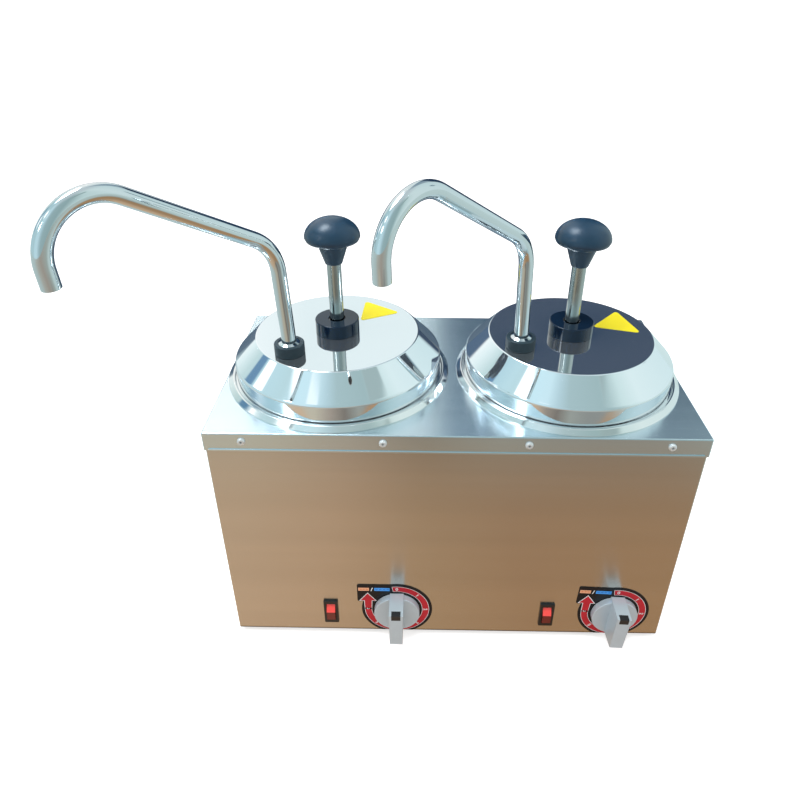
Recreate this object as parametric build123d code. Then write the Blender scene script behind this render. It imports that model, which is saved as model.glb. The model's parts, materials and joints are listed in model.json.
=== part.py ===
from build123d import *
import os
from math import cos, radians, sin, sqrt, tan

# Twin topping warmer: a sheet-steel housing with two hot-water baths, and in each bath
# a lift-out pot whose lid carries a piston pump with a swivelling spout.
# Millimetres, +Z up, z = 0 on the table. The front faces -Y. The wrap is worked out about
# the housing's middle, and the whole model is moved at the end, so that the origin is the
# middle of the bottom of the box round everything.

os.makedirs("parts", exist_ok=True)

# ---- driving dimensions ---------------------------------------------------------------

# Housing, measured over the deck
HOUSING_W = 450.0
HOUSING_D = 230.0
HOUSING_H = 260.0
SHEET = 1.0
RIM_H = 18.9
HEM_H = 2.2
HEM_T = 0.9
HEM_END = 5.0
SHEET_FIT = 0.2
FOOT_H = 8.0
FOOT_R = 12.0
FOOT_INSET = 32.0
RETURN_W = 14.0
SEAM_BACK = 3.0
TRAY_RIM = 14.0

# Pots and baths
POT_PITCH = 228.2
POT_Y = -3.3
SPUN = 0.8
POT_R = 97.2
POT_DEPTH = 183.8
POT_CORNER = 14.0
LIP_R = 103.4
LIP_H = 5.0
LIP_FLAT = 2.2
BEAD_EDGE = 1.0
LEDGE_H = 2.0
BEAD_R = 110.2
BATH_R = 105.0
BATH_DEPTH = 197.0
BATH_CORNER = 12.0
BATH_FLANGE = 3.2

# Lid
LID_R = 101.4
LID_TOP_R = 79.5
LID_H = 45.0
SHOULDER_H = 22.8
LID_EDGE = 2.0
LID_CREASE = 5.0

# Pump: the lid turns with its pump, so each side has its own azimuth
ROD_R = 6.7
ROD_WALL = 1.2
STROKE = 50.0
BORE_R = 15.5
CYLINDER_WALL = 1.5
COLLAR_R = 21.2
COLLAR_H = 13.4
COLLAR_TOP = 4.0
COLLAR_HOLE_R = 8.1
CLAMP_FLANGE_R = 21.0
CLAMP_FLANGE_H = 3.0
OUTLET_OFFSET = 60.3
BALL_R = 6.0
SEAT_R = 4.6
BALL_LIFT = 3.0
SPRING_TURNS = 7
SPRING_R = 12.0
SPRING_WIRE_R = 1.0
PISTON_H = 16.0
SEAL_H = 6.0
STUD_H = 14.0
BUSH_H = 18.0
STOP_R = 10.0
STOP_H = 4.0

# Plunger knob
KNOB_R = 25.6
KNOB_DOME = 15.4
KNOB_BAND = 4.8
KNOB_BAND_R = 23.0
KNOB_NECK_R = 14.2
KNOB_NECK_END_R = 8.0
KNOB_NECK_DROP = 9.5
KNOB_H = 43.8
KNOB_BORE = 26.0
KNOB_GAP = 57.0

# Spout
SPOUT_R = 6.7
SPOUT_WALL = 1.0
SPOUT_LEAN = 3.0
SPOUT_LEAN_RADIUS = 250.0
SPOUT_RISE = 57.0
SPOUT_BEND_RADIUS = 42.3
SPOUT_SLOPE = 30.2
SPOUT_RUN = 115.5
SPOUT_HOOK_RADIUS = 39.7
SPOUT_END_SLOPE = -92.5
SPOUT_TIP = 13.0
SPOUT_PLUG = 16.0
FERRULE_R = 9.0
FERRULE_H = 4.5
NUT_R = 13.9
NUT_H = 11.0
NECK_R = 10.4
NECK_H = 6.5
DISCHARGE_WALL = 1.4

# Controls on the front
CONTROL_PITCH = 226.0
DIAL_SHIFT = 59.2
SWITCH_SHIFT = -10.0
CONTROL_H = 33.4
SWITCH_H = 28.8
DIAL_R = 36.8
DIAL_T = 0.5
TAB_W = 41.0
TAB_H = 25.0
DIAL_KNOB_R = 23.5
DIAL_DISC_H = 6.6
DIAL_KNOB_H = 29.2
GRIP_W = 14.2
GRIP_TAIL_W = 13.2
GRIP_PROUD = 0.5
GRIP_DRAFT = 3.0
POINTER_W = 9.3
POINTER_L = 6.0
POINTER_T = 1.2
SPINDLE_R = 3.0
BEZEL_W = 15.0
BEZEL_H = 33.0
BEZEL_T = 2.2
ROCKER_W = 8.8
ROCKER_HALF = 10.8
ROCKER_TILT = 12.0
PIVOT_DEPTH = 3.0

# Fasteners and cable entry
SCREW_R = 1.9
SCREW_L = 7.0
SCREW_HEAD_R = 3.6
SCREW_HEAD_H = 2.0
SCREW_DROP = 8.5
CABLE_R = 4.5
GLAND_R = 7.8
GLAND_CAP_R = 9.6
GLAND_HEX = 11.0
GLAND_X = 170.0
GLAND_H = 34.0

# Fits
RUN_FIT = 0.08
THREAD_FIT = 0.1
HOLE_FIT = 0.2
MOVING_GAP = 0.4

# ---- places worked out from the driving dimensions -------------------------------------

SIDES = {"left": -1, "right": 1}
LID_TURN = {"left": -130.4, "right": -150.6}
SPOUT_AIM = {"left": -131.5, "right": -130.9}
DIAL_TURN = {"left": 0.0, "right": -3.0}
PLATE_TURN = {"left": 0.0, "right": -2.5}

BOTTOM = FOOT_H
DECK = BOTTOM + HOUSING_H
DECK_UNDER = DECK - SHEET
WRAP_W = HOUSING_W - 2 * (SHEET + SHEET_FIT)
WRAP_D = HOUSING_D - 2 * (SHEET + SHEET_FIT)
FRONT = -WRAP_D / 2
REAR = WRAP_D / 2
TRAY_W = WRAP_W - 2 * (SHEET + SHEET_FIT)
TRAY_D = WRAP_D - 2 * SHEET - 2 * SHEET_FIT - SHEET

LEDGE = DECK + LEDGE_H
LIP = DECK + LIP_H
POT_FLOOR = LIP - POT_DEPTH
BATH_FLOOR = DECK_UNDER - BATH_DEPTH
BATH_UNDER = BATH_FLOOR - SPUN

LID_TOP = DECK + LID_H
LID_UNDER = LID_TOP - SHEET
COLLAR_UNDER = LID_TOP + COLLAR_H - COLLAR_TOP
BUSH_RIM = 1.5
NECK_TOP = COLLAR_UNDER - BUSH_RIM
CYLINDER_R = BORE_R + CYLINDER_WALL

VALVE_Z = POT_FLOOR + 8.0
SEAT_Z = VALVE_Z + 8.0
SOCKET_Z = SEAT_Z + 18.0
SOCKET_DEPTH = 14.0
CHAMBER_R = 9.5
CHANNEL_R = 4.5
CHANNEL_Z = SEAT_Z + 9.0
BALL_RISE = sqrt(BALL_R**2 - SEAT_R**2) + 0.05
OUTLET_SEAT_Z = SOCKET_Z
TUBE_R = SPOUT_R + RUN_FIT + DISCHARGE_WALL
TUBE_END_Z = OUTLET_SEAT_Z + BALL_RISE + BALL_R + BALL_LIFT + 0.3

BUSH_BOTTOM = NECK_TOP - BUSH_H
KNOB_BOTTOM = LID_TOP + COLLAR_H + KNOB_GAP
SPRING_SOLID = (SPRING_TURNS + 1) * 2 * SPRING_WIRE_R
PISTON_Z = SOCKET_Z + SPRING_SOLID + STROKE
NUT_TOP = LID_TOP + NUT_H


def pot_x(side):
    """Middle of a pot, across the housing."""
    return SIDES[side] * POT_PITCH / 2


def at_pot(shape, side, turn=0.0):
    """Stand a shape made about Z on a pot's axis, turned about it."""
    return Pos(pot_x(side), POT_Y, 0) * Rot(0, 0, turn) * shape


def nut_place(side):
    """The middle of the spout nut: the pump's outlet, off the pot's axis along the lid's turn."""
    turn = radians(LID_TURN[side])
    return (pot_x(side) + OUTLET_OFFSET * cos(turn), POT_Y + OUTLET_OFFSET * sin(turn))


def at_front(shape, x, z):
    """Stand a shape whose face looks along +Z, with its top along +Y, on the front panel."""
    return Pos(x, FRONT, z) * Rot(90, 0, 0) * shape


def dial_x(side):
    return SIDES[side] * CONTROL_PITCH / 2 + DIAL_SHIFT


def switch_x(side):
    return SIDES[side] * CONTROL_PITCH / 2 + SWITCH_SHIFT


def revolved(outline):
    """Turn a closed outline, drawn as (radius, height), round the Z axis."""
    return revolve(Plane.XZ * make_face(outline), Axis.Z)


def turned(points):
    """A solid of revolution from the straight-sided outline through (radius, height) points."""
    return revolved(Polyline(*points, close=True))


def spun(points, radii, wall):
    """A spun sheet: the wall lies to the right of a (radius, height) path with rounded corners."""
    path = Wire(FilletPolyline(*points, radius=radii).edges())
    outline = path.offset_2d(wall, kind=Kind.INTERSECTION, side=Side.RIGHT, closed=True)
    return revolve(Plane.XZ * Face(outline), Axis.Z)


def drum(radius, low, high):
    """A plain cylinder about Z between two heights."""
    return Pos(0, 0, low) * Cylinder(radius, high - low, align=(Align.CENTER, Align.CENTER, Align.MIN))


def ring(outer, inner, low, high):
    """A plain ring about Z between two heights."""
    return turned([(inner, low), (outer, low), (outer, high), (inner, high)])


def slab(width, depth, low, high):
    """A block centred on Z between two heights."""
    return Pos(0, 0, low) * Box(width, depth, high - low, align=(Align.CENTER, Align.CENTER, Align.MIN))


# ---- screws: one pattern for the holes and for the fasteners ----------------------------

def deck_screw_places():
    """Where the rim is screwed to the wrap and rear panel: place and outward direction."""
    z = DECK - SCREW_DROP
    places = []
    for x in (-190.0 / 450.0, -64.5 / 450.0, 64.5 / 450.0, 190.0 / 450.0):
        places.append((x * HOUSING_W, -HOUSING_D / 2, z, 0, -1, 0))
        places.append((x * HOUSING_W, HOUSING_D / 2, z, 0, 1, 0))
    for side in SIDES.values():
        for y in (-HOUSING_D / 4, HOUSING_D / 4):
            places.append((side * HOUSING_W / 2, y, z, side, 0, 0))
    return places


def rear_screw_places():
    """Where the rear panel is screwed to the wrap's return flanges."""
    x = WRAP_W / 2 - SHEET - RETURN_W / 2
    heights = (BOTTOM + 24.0, BOTTOM + HOUSING_H / 2, DECK - 34.0)
    return [(side * x, REAR, z, 0, 1, 0) for side in SIDES.values() for z in heights]


def screw_axes():
    """Every screw's plane: origin under its head, Z pointing out of the sheet."""
    places = deck_screw_places() + rear_screw_places()
    return [Plane(origin=p[:3], z_dir=p[3:]) for p in places]


def drill_screws(shape, planes, fit):
    """Take a screw's hole out of a sheet at each place."""
    for plane in planes:
        shape -= plane * Cylinder(SCREW_R + fit, 4 * SCREW_L)
    return shape


def housing_screws():
    shank = [(0, -SCREW_L), (SCREW_R, -SCREW_L), (SCREW_R, 0)]
    head = [(SCREW_HEAD_R, 0), (0.7 * SCREW_HEAD_R, SCREW_HEAD_H), (0, SCREW_HEAD_H)]
    screw = turned(shank + head)
    return [plane * screw for plane in screw_axes()]


# ---- housing ---------------------------------------------------------------------------

def rim_hem():
    """The rim's lower edge, folded outwards and pressed flat, on each side as far as near the corners."""
    low = DECK - RIM_H
    hem = slab(HOUSING_W - 2 * HEM_END, HOUSING_D + 2 * HEM_T, low, low + HEM_H)
    hem += slab(HOUSING_W + 2 * HEM_T, HOUSING_D - 2 * HEM_END, low, low + HEM_H)
    edges = [edge for face in hem.faces().filter_by(Axis.Z) for edge in face.edges()]
    return chamfer([edge for edge in edges if edge.length > 2 * HEM_END], 0.35)


def top_deck():
    """Deck plate with a folded-down, hemmed rim and two round openings for the pots."""
    deck = slab(HOUSING_W, HOUSING_D, DECK - RIM_H, DECK)
    deck = fillet(deck.edges().filter_by(Axis.Z), 1.6)
    deck = fillet(deck.faces().sort_by(Axis.Z)[-1].edges(), 1.2)
    deck += rim_hem()
    deck -= slab(HOUSING_W - 2 * SHEET, HOUSING_D - 2 * SHEET, DECK - RIM_H - 1, DECK_UNDER)
    for side in SIDES:
        deck -= at_pot(drum(BATH_R, DECK_UNDER - 1, DECK + 1), side)
    return drill_screws(deck, screw_axes()[:len(deck_screw_places())], HOLE_FIT)


def body_sheet():
    """The bent sheet round the front and sides, with a return flange down each rear edge."""
    depth = WRAP_D - SHEET
    outer = slab(WRAP_W, depth, BOTTOM, DECK_UNDER)
    outer = fillet(outer.edges().filter_by(Axis.Z).group_by(Axis.Y)[0], 2.0)
    inner = slab(WRAP_W - 2 * SHEET, depth - 2 * SHEET, BOTTOM - 1, DECK_UNDER + 1)
    inner = fillet(inner.edges().filter_by(Axis.Z).group_by(Axis.Y)[0], 1.0)
    gap = slab(WRAP_W - 2 * SHEET - 2 * RETURN_W, 4 * SHEET, BOTTOM - 1, DECK_UNDER + 1)
    sheet = Pos(0, -SHEET / 2, 0) * (outer - inner - Pos(0, depth / 2, 0) * gap)
    return drill_screws(sheet, screw_axes(), HOLE_FIT)


def front_panel():
    """The body's front, bent back a little along each side to its seam, with holes for the controls."""
    panel = body_sheet() & Pos(0, FRONT, 0) * slab(2 * WRAP_W, 2 * SEAM_BACK, BOTTOM, DECK)
    for side in SIDES:
        panel -= at_front(Cylinder(SPINDLE_R + 2.4, 20), dial_x(side), BOTTOM + CONTROL_H)
        panel -= at_front(Box(BEZEL_W - 1.8, BEZEL_H - 3.8, 20), switch_x(side), BOTTOM + SWITCH_H)
    return panel


def side_panel(side):
    """One side of the body, from the front panel's seam to its return flange at the back."""
    behind = Pos(SIDES[side] * WRAP_W / 2, FRONT + SEAM_BACK + WRAP_D, 0)
    return body_sheet() & behind * slab(WRAP_W, 2 * WRAP_D, BOTTOM, DECK)


def rear_panel():
    panel = Pos(0, REAR - SHEET / 2, 0) * slab(WRAP_W, SHEET, BOTTOM, DECK_UNDER)
    panel -= Pos(GLAND_X, REAR, BOTTOM + GLAND_H) * Rot(90, 0, 0) * Cylinder(GLAND_R + HOLE_FIT, 10)
    return drill_screws(panel, screw_axes(), HOLE_FIT)


def foot_places():
    x = WRAP_W / 2 - FOOT_INSET
    y = WRAP_D / 2 - FOOT_INSET
    return [(sx * x, sy * y) for sx in (-1, 1) for sy in (-1, 1)]


def base_tray():
    """Tray with an upturned rim, rows of vent slots and a hole over each foot."""
    tray = slab(TRAY_W, TRAY_D, BOTTOM, BOTTOM + TRAY_RIM)
    tray = fillet(tray.edges().filter_by(Axis.Z), 2.0)
    tray -= slab(TRAY_W - 2 * SHEET, TRAY_D - 2 * SHEET, BOTTOM + SHEET, BOTTOM + TRAY_RIM + 1)
    slot = extrude(SlotOverall(46.0, 5.0, rotation=90), 4 * SHEET, both=True)
    for side in SIDES:
        for step in range(-2, 3):
            tray -= Pos(pot_x(side) + 13.0 * step, 0, BOTTOM) * slot
    for x, y in foot_places():
        tray -= Pos(x, y, BOTTOM) * Cylinder(SCREW_R + THREAD_FIT, 6 * SHEET)
    return Pos(0, -SHEET / 2, 0) * tray


def rubber_feet():
    """Tapered feet, each with a stud that pushes through the tray."""
    stud = [(SCREW_R, FOOT_H), (SCREW_R, FOOT_H + 3), (0, FOOT_H + 3)]
    foot = turned([(0, 0), (FOOT_R - 2, 0), (FOOT_R, FOOT_H)] + stud)
    return [Pos(x, y - SHEET / 2, 0) * foot for x, y in foot_places()]


def cable_gland():
    """Gland in the rear panel, bored for the cable: cap and hexagon outside, stem and lock nut inside."""
    hexagon = RegularPolygon(GLAND_HEX, 6, major_radius=False) - Circle(CABLE_R)
    cap = [(CABLE_R, 5), (GLAND_CAP_R, 5), (GLAND_CAP_R, 13), (0.75 * GLAND_CAP_R, 18), (CABLE_R, 18)]
    body = turned(cap) + extrude(hexagon, 5.0)
    body += ring(GLAND_R, CABLE_R, -12.0, 0.0) + Pos(0, 0, -SHEET) * extrude(hexagon, -4.0)
    return Pos(GLAND_X, REAR, BOTTOM + GLAND_H) * Rot(-90, 0, 0) * body


def terminal_block():
    """Block on the tray with two rows of wire entries."""
    floor = BOTTOM + SHEET
    block = slab(48.0, 22.0, floor, floor + 8.0) + slab(48.0, 12.0, floor, floor + 18.0)
    for step in range(4):
        block -= Pos(-18.0 + 12.0 * step, 0, floor + 6.0) * Rot(90, 0, 0) * Cylinder(2.4, 40)
    return Pos(60.0, 62.0, 0) * block


def water_bath(side):
    """Spun vessel hung under the deck by its flange."""
    flange_r = BATH_R + BATH_FLANGE
    points = [(0, BATH_FLOOR), (BATH_R, BATH_FLOOR), (BATH_R, DECK_UNDER), (flange_r, DECK_UNDER)]
    return at_pot(spun(points, [BATH_CORNER, 1.2], SPUN), side)


def heater(side):
    """Tubular ring element against the bath's underside, with two legs turned down at the back."""
    tube_r = 4.0
    ring_r = 70.0
    z = BATH_UNDER - tube_r
    gap = 24.0
    arc = CenterArc((0, 0, z), ring_r, 90 + gap, 360 - 2 * gap)
    body = sweep(Plane(origin=arc @ 0, z_dir=arc % 0) * Circle(tube_r), path=arc)
    for end in (arc @ 0, arc @ 1):
        body += Pos(end.X, end.Y, 0) * drum(tube_r, z - 24.0, z)
        body += Pos(end.X, end.Y, z) * Sphere(tube_r)
    return at_pot(body, side)


def thermostat(side):
    """Control body behind the dial, with its bush, blades, capillary and sensing bulb."""
    x = dial_x(side)
    z = BOTTOM + CONTROL_H
    body = at_front(Pos(0, 0, -SHEET - 12.0) * Box(36.0, 30.0, 24.0), x, z)
    body += at_front(drum(SPINDLE_R + 2.2, -SHEET, 12.0 - SHEET), x, z)
    body -= at_front(drum(SPINDLE_R + RUN_FIT, -10.0, 30.0), x, z)
    for dx in (-9.0, 9.0):
        body += at_front(Pos(dx, 0, -SHEET - 24.0 - 4.0) * Box(6.3, 0.8, 8.0), x, z)
    bulb_r = 3.0
    bulb_y = POT_Y - 86.0
    bulb_z = BATH_UNDER - bulb_r
    bulb = Pos(pot_x(side), bulb_y, bulb_z) * Rot(0, 90, 0) * Cylinder(bulb_r, 50.0)
    start = (pot_x(side) + 24.0, bulb_y, bulb_z)
    top = (x - 10.0, bulb_y, bulb_z)
    end = (x - 10.0, bulb_y, z + 14.0)
    route = FilletPolyline(start, top, end, radius=6.0)
    capillary = sweep(Plane(origin=start, z_dir=(1, 0, 0)) * Circle(0.9), path=route)
    return body + bulb + capillary


def dial_plate(side):
    """Scale plate: a disc with a square tab at its upper left, cut off at the housing's bottom edge."""
    plate = Circle(DIAL_R) + Pos(-TAB_W / 2, DIAL_R - TAB_H / 2 - 0.6) * RectangleRounded(TAB_W, TAB_H, 2.0)
    plate = Rot(0, 0, PLATE_TURN[side]) * plate
    plate &= Pos(0, 0.4 - CONTROL_H + DIAL_R) * Rectangle(4 * DIAL_R, 2 * DIAL_R)
    plate -= Circle(SPINDLE_R + 2.6)
    return at_front(extrude(plate, DIAL_T), dial_x(side), BOTTOM + CONTROL_H)


def rocker_outline():
    """Side view of the rocker at mid travel: two facets that meet in a ridge, about its pivot."""
    ridge = 7.4
    drop = ROCKER_HALF * tan(radians(ROCKER_TILT))
    heel = ROCKER_HALF - 1.6
    return [(ROCKER_HALF, ridge - drop), (0, ridge), (-ROCKER_HALF, ridge - drop), (-heel, 1.0), (-3.5, -5.0),
            (3.5, -5.0), (heel, 1.0)]


def switch_body(side):
    """Rocker switch: bezel, body behind the panel, pocket, pivot holes and three blades."""
    pocket_half = sqrt(ROCKER_HALF**2 + 4.8**2) + MOVING_GAP
    bezel = extrude(RectangleRounded(BEZEL_W, BEZEL_H, 1.2), BEZEL_T)
    bezel = fillet(bezel.faces().sort_by(Axis.Z)[-1].edges(), 0.6)
    body = bezel + Pos(0, 0, -12.0) * Box(BEZEL_W - 2.2, BEZEL_H - 4.2, 24.0)
    body -= Pos(0, 0, BEZEL_T - 6.5) * Box(ROCKER_W + 0.6, 2 * pocket_half, 13.0)
    body -= Pos(0, 0, -PIVOT_DEPTH) * Rot(0, 90, 0) * Cylinder(1.4 + RUN_FIT, ROCKER_W + 2.4)
    for dy in (-9.0, 0.0, 9.0):
        body += Pos(0, dy, -24.0 - 4.5) * Box(4.8, 0.8, 9.0)
    return at_front(body, switch_x(side), BOTTOM + SWITCH_H)


def rocker(side):
    """The rocker, resting with its upper end pressed in, on two stub pivots."""
    outline = Plane.YZ * make_face(Polyline(*rocker_outline(), close=True))
    body = extrude(outline, ROCKER_W / 2, both=True)
    body = fillet(body.edges().filter_by(Axis.X).group_by(Axis.Z)[-1], 1.0)
    body += Rot(0, 90, 0) * Cylinder(1.4, ROCKER_W + 2.0)
    body = Pos(0, 0, -PIVOT_DEPTH) * Rot(-ROCKER_TILT, 0, 0) * body
    return at_front(body, switch_x(side), BOTTOM + SWITCH_H)


# ---- thermostat knob -------------------------------------------------------------------

KNOB_BACK = DIAL_T + 0.5


def grip_block():
    """The knob's disc and the raised grip across it, before bores and insert."""
    disc = drum(DIAL_KNOB_R, KNOB_BACK, KNOB_BACK + DIAL_DISC_H)
    disc = fillet(disc.faces().sort_by(Axis.Z)[-1].edges(), 0.8)
    tail = DIAL_KNOB_R - 1.5
    head = DIAL_KNOB_R + GRIP_PROUD
    tall = DIAL_KNOB_H - KNOB_BACK
    plan = [(GRIP_W / 2, head), (GRIP_TAIL_W / 2, -tail), (-GRIP_TAIL_W / 2, -tail), (-GRIP_W / 2, head)]
    grip = extrude(make_face(Polyline(*plan, close=True)), tall)
    profile = Polyline((head, 0), (head, tall), (GRIP_DRAFT - tail, tall), (-tail, 0), close=True)
    grip &= extrude(Plane.YZ * make_face(profile), GRIP_W, both=True)
    grip = fillet(grip.faces().sort_by(Axis.Z)[-1].edges(), 0.6)
    return disc + Pos(0, 0, KNOB_BACK) * grip


def pointer_insert():
    """Dark insert let into the grip's front corner at the pointer end."""
    outer = POINTER_L + 2.0
    inner = 20.0
    corner = Pos(0, DIAL_KNOB_R - POINTER_L, DIAL_KNOB_H - POINTER_L) * Pos(0, outer / 2, outer / 2)
    hollow = Pos(0, DIAL_KNOB_R - POINTER_T, DIAL_KNOB_H - POINTER_T) * Pos(0, -inner / 2, -inner / 2)
    return corner * Box(POINTER_W, outer, outer) - hollow * Box(POINTER_W + 1, inner, inner)


def turned_knob(shape, side):
    return at_front(Rot(0, 0, DIAL_TURN[side]) * shape, dial_x(side), BOTTOM + CONTROL_H)


def spindle_shape():
    """D-shaped spindle from inside the thermostat to inside the knob."""
    low = -9.0
    high = KNOB_BACK + 18.0
    shaft = drum(SPINDLE_R, low, high)
    return shaft - Pos(0, SPINDLE_R + 0.9, (KNOB_BACK + 8 + high) / 2) * Box(8, 3.0, high - KNOB_BACK - 8)


def thermostat_knob(side):
    knob = grip_block() - pointer_insert()
    knob -= drum(DIAL_KNOB_R - 2.0, KNOB_BACK - 1, KNOB_BACK + 5.0) - drum(SPINDLE_R + 3.0, 0, 20)
    knob -= drum(SPINDLE_R + 2.6, KNOB_BACK - 1, SHEET + 11.0)
    return turned_knob(knob - spindle_shape(), side)


def knob_pointer(side):
    return turned_knob(pointer_insert() & grip_block(), side)


def spindle(side):
    return turned_knob(spindle_shape(), side)


# ---- pot and lid -----------------------------------------------------------------------

def pot(side):
    """Spun pot: floor, wall, a ledge for the lid, and a sloping rim that hangs it on the deck."""
    points = [(0, POT_FLOOR), (POT_R, POT_FLOOR), (POT_R, LEDGE), (LIP_R, LEDGE), (LIP_R, LIP),
              (LIP_R + LIP_FLAT, LIP), (BEAD_R, DECK + BEAD_EDGE), (BEAD_R, DECK)]
    return at_pot(spun(points, [POT_CORNER, 1.0, 1.0, 0.9, 1.5, 1.0], SPUN), side)


def lid(side):
    """Lid shell: flat top, sloped shoulder, upright skirt; holes for the pump and its outlet."""
    points = [(0, LID_TOP), (LID_TOP_R, LID_TOP), (LID_R, LID_TOP - SHOULDER_H), (LID_R, LEDGE)]
    shell = spun(points, [LID_EDGE, LID_CREASE], SHEET)
    shell -= drum(CYLINDER_R + HOLE_FIT, LID_UNDER - 2, LID_TOP + 1)
    shell -= Pos(OUTLET_OFFSET, 0, 0) * drum(NECK_R + HOLE_FIT, LID_UNDER - 2, LID_TOP + 1)
    return at_pot(shell, side, LID_TURN[side])


# ---- pump, made with its outlet along +X -------------------------------------------------

def pump_cylinder():
    """Tube from the valve body up through the lid, with a clamping flange under the lid."""
    tube = ring(CYLINDER_R, BORE_R, SOCKET_Z, NECK_TOP)
    return tube + ring(CLAMP_FLANGE_R, BORE_R + 0.5, LID_UNDER - CLAMP_FLANGE_H, LID_UNDER)


def pump_collar():
    """Cap that screws on the cylinder's neck and clamps the lid, open round the rod."""
    cap = drum(COLLAR_R, LID_TOP, LID_TOP + COLLAR_H)
    cap = fillet(cap.faces().sort_by(Axis.Z)[-1].edges(), 0.8)
    cap -= drum(CYLINDER_R + THREAD_FIT, LID_TOP - 1, COLLAR_UNDER)
    return cap - drum(COLLAR_HOLE_R, LID_TOP, LID_TOP + COLLAR_H + 1)


def guide_bush():
    """Bush in the cylinder's mouth that guides the rod; its rim is trapped by the collar."""
    hole = ROD_R + RUN_FIT
    body = BORE_R - THREAD_FIT
    return turned([(hole, BUSH_BOTTOM), (body, BUSH_BOTTOM), (body, NECK_TOP), (CYLINDER_R, NECK_TOP),
                   (CYLINDER_R, COLLAR_UNDER), (hole, COLLAR_UNDER)])


def valve_body():
    """Foot of the pump: inlet seat, ball chamber, cross channel and the outlet's own seat."""
    barrel_r = CYLINDER_R + 4.5
    boss_r = TUBE_R + 4.2
    boss_top = TUBE_END_Z + 12.0
    body = drum(barrel_r, VALVE_Z, SOCKET_Z + SOCKET_DEPTH)
    body += Pos(OUTLET_OFFSET, 0, 0) * drum(boss_r, VALVE_Z + 4, boss_top)
    arm = slab(OUTLET_OFFSET, 4 * CHANNEL_R, CHANNEL_Z - 2 * CHANNEL_R, CHANNEL_Z + 2 * CHANNEL_R)
    body += Pos(OUTLET_OFFSET / 2, 0, 0) * fillet(arm.edges().filter_by(Axis.X), 4.0)
    body -= drum(CYLINDER_R + THREAD_FIT, SOCKET_Z, SOCKET_Z + SOCKET_DEPTH + 1)
    body -= drum(CHAMBER_R, SEAT_Z, SOCKET_Z + 1)
    body -= drum(SEAT_R, VALVE_Z - 1, SEAT_Z + 1)
    for turn in (45.0, 135.0):
        body -= Rot(0, 0, turn) * slab(60.0, 7.0, VALVE_Z - 1, VALVE_Z + 3.5)
    body -= Pos(OUTLET_OFFSET / 2, 0, CHANNEL_Z) * Rot(0, 90, 0) * Cylinder(CHANNEL_R, OUTLET_OFFSET)
    body -= Pos(OUTLET_OFFSET, 0, 0) * drum(SEAT_R, CHANNEL_Z - CHANNEL_R, OUTLET_SEAT_Z + 1)
    body -= Pos(OUTLET_OFFSET, 0, 0) * drum(TUBE_R + THREAD_FIT, OUTLET_SEAT_Z, boss_top + 1)
    return body


def discharge_tube():
    """Tube from the outlet valve up through the lid, with a lip that keeps the ball in."""
    bore = SPOUT_R + RUN_FIT
    top = LID_TOP + NECK_H
    flange_z = LID_UNDER - CLAMP_FLANGE_H
    lip_z = TUBE_END_Z + 1.6
    outside = [(TUBE_R, TUBE_END_Z), (TUBE_R, flange_z), (NUT_R, flange_z), (NUT_R, LID_UNDER)]
    neck = [(NECK_R, LID_UNDER), (NECK_R, top), (bore, top)]
    inside = [(bore, lip_z), (SEAT_R, lip_z), (SEAT_R, TUBE_END_Z)]
    return Pos(OUTLET_OFFSET, 0, 0) * turned(outside + neck + inside)


def spout_nut():
    """Knurled ring that screws down on the discharge tube's neck."""
    hole = NECK_R + THREAD_FIT
    edge = 0.8
    return Pos(OUTLET_OFFSET, 0, 0) * turned([(hole, LID_TOP), (NUT_R, LID_TOP), (NUT_R, NUT_TOP - edge),
                                              (NUT_R - edge, NUT_TOP), (hole, NUT_TOP)])


def seated_ball(x, seat_z):
    return Pos(x, 0, seat_z + BALL_RISE) * Sphere(BALL_R)


# ---- plunger ---------------------------------------------------------------------------

def plunger_rod():
    """Tube from the piston to the knob; a collar on it stops against the guide bush."""
    bore = ROD_R - ROD_WALL
    low = PISTON_Z + PISTON_H
    tube = ring(ROD_R, bore, low, KNOB_BOTTOM + KNOB_BORE)
    return tube + ring(STOP_R, bore + 0.4, BUSH_BOTTOM - STOP_H, BUSH_BOTTOM)


def plunger_knob():
    """Mushroom knob: domed cap, undercut band and a conical neck on the rod."""
    crease = KNOB_BOTTOM + KNOB_H - KNOB_DOME
    neck_top = crease - KNOB_NECK_DROP
    top = crease + KNOB_DOME
    bore_top = KNOB_BOTTOM + KNOB_BORE
    quarter = 0.5523
    dome = Bezier((KNOB_R, crease), (KNOB_R, crease + quarter * KNOB_DOME), (quarter * KNOB_R, top), (0, top))
    bore = [(0, top), (0, bore_top), (ROD_R, bore_top), (ROD_R, KNOB_BOTTOM)]
    outside = [(KNOB_NECK_END_R, KNOB_BOTTOM), (KNOB_NECK_R, neck_top), (KNOB_BAND_R, crease - KNOB_BAND)]
    return revolved(dome + Polyline(*bore, *outside, (KNOB_R, crease)))


def piston():
    """Piston head with a groove for its seal and a stud pressed into the rod."""
    head = BORE_R - 0.3
    top = PISTON_Z + PISTON_H
    stud_r = ROD_R - ROD_WALL
    groove_z = PISTON_Z + (PISTON_H - SEAL_H) / 2
    groove_r = SEAL_GROOVE_R
    groove = [(head, groove_z), (groove_r, groove_z), (groove_r, groove_z + SEAL_H), (head, groove_z + SEAL_H)]
    stud = [(stud_r, top), (stud_r, top + STUD_H), (0, top + STUD_H)]
    return turned([(0, PISTON_Z), (head, PISTON_Z)] + groove + [(head, top)] + stud)


SEAL_GROOVE_R = BORE_R - 3.5


def piston_seal():
    """Lip seal in the piston's groove, with a running fit in the bore."""
    low = PISTON_Z + (PISTON_H - SEAL_H) / 2
    lip = BORE_R - RUN_FIT
    return turned([(SEAL_GROOVE_R, low), (lip, low), (lip, low + 1.4), (lip - 0.8, low + SEAL_H / 2),
                   (lip, low + SEAL_H - 1.4), (lip, low + SEAL_H), (SEAL_GROOVE_R, low + SEAL_H)])


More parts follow.
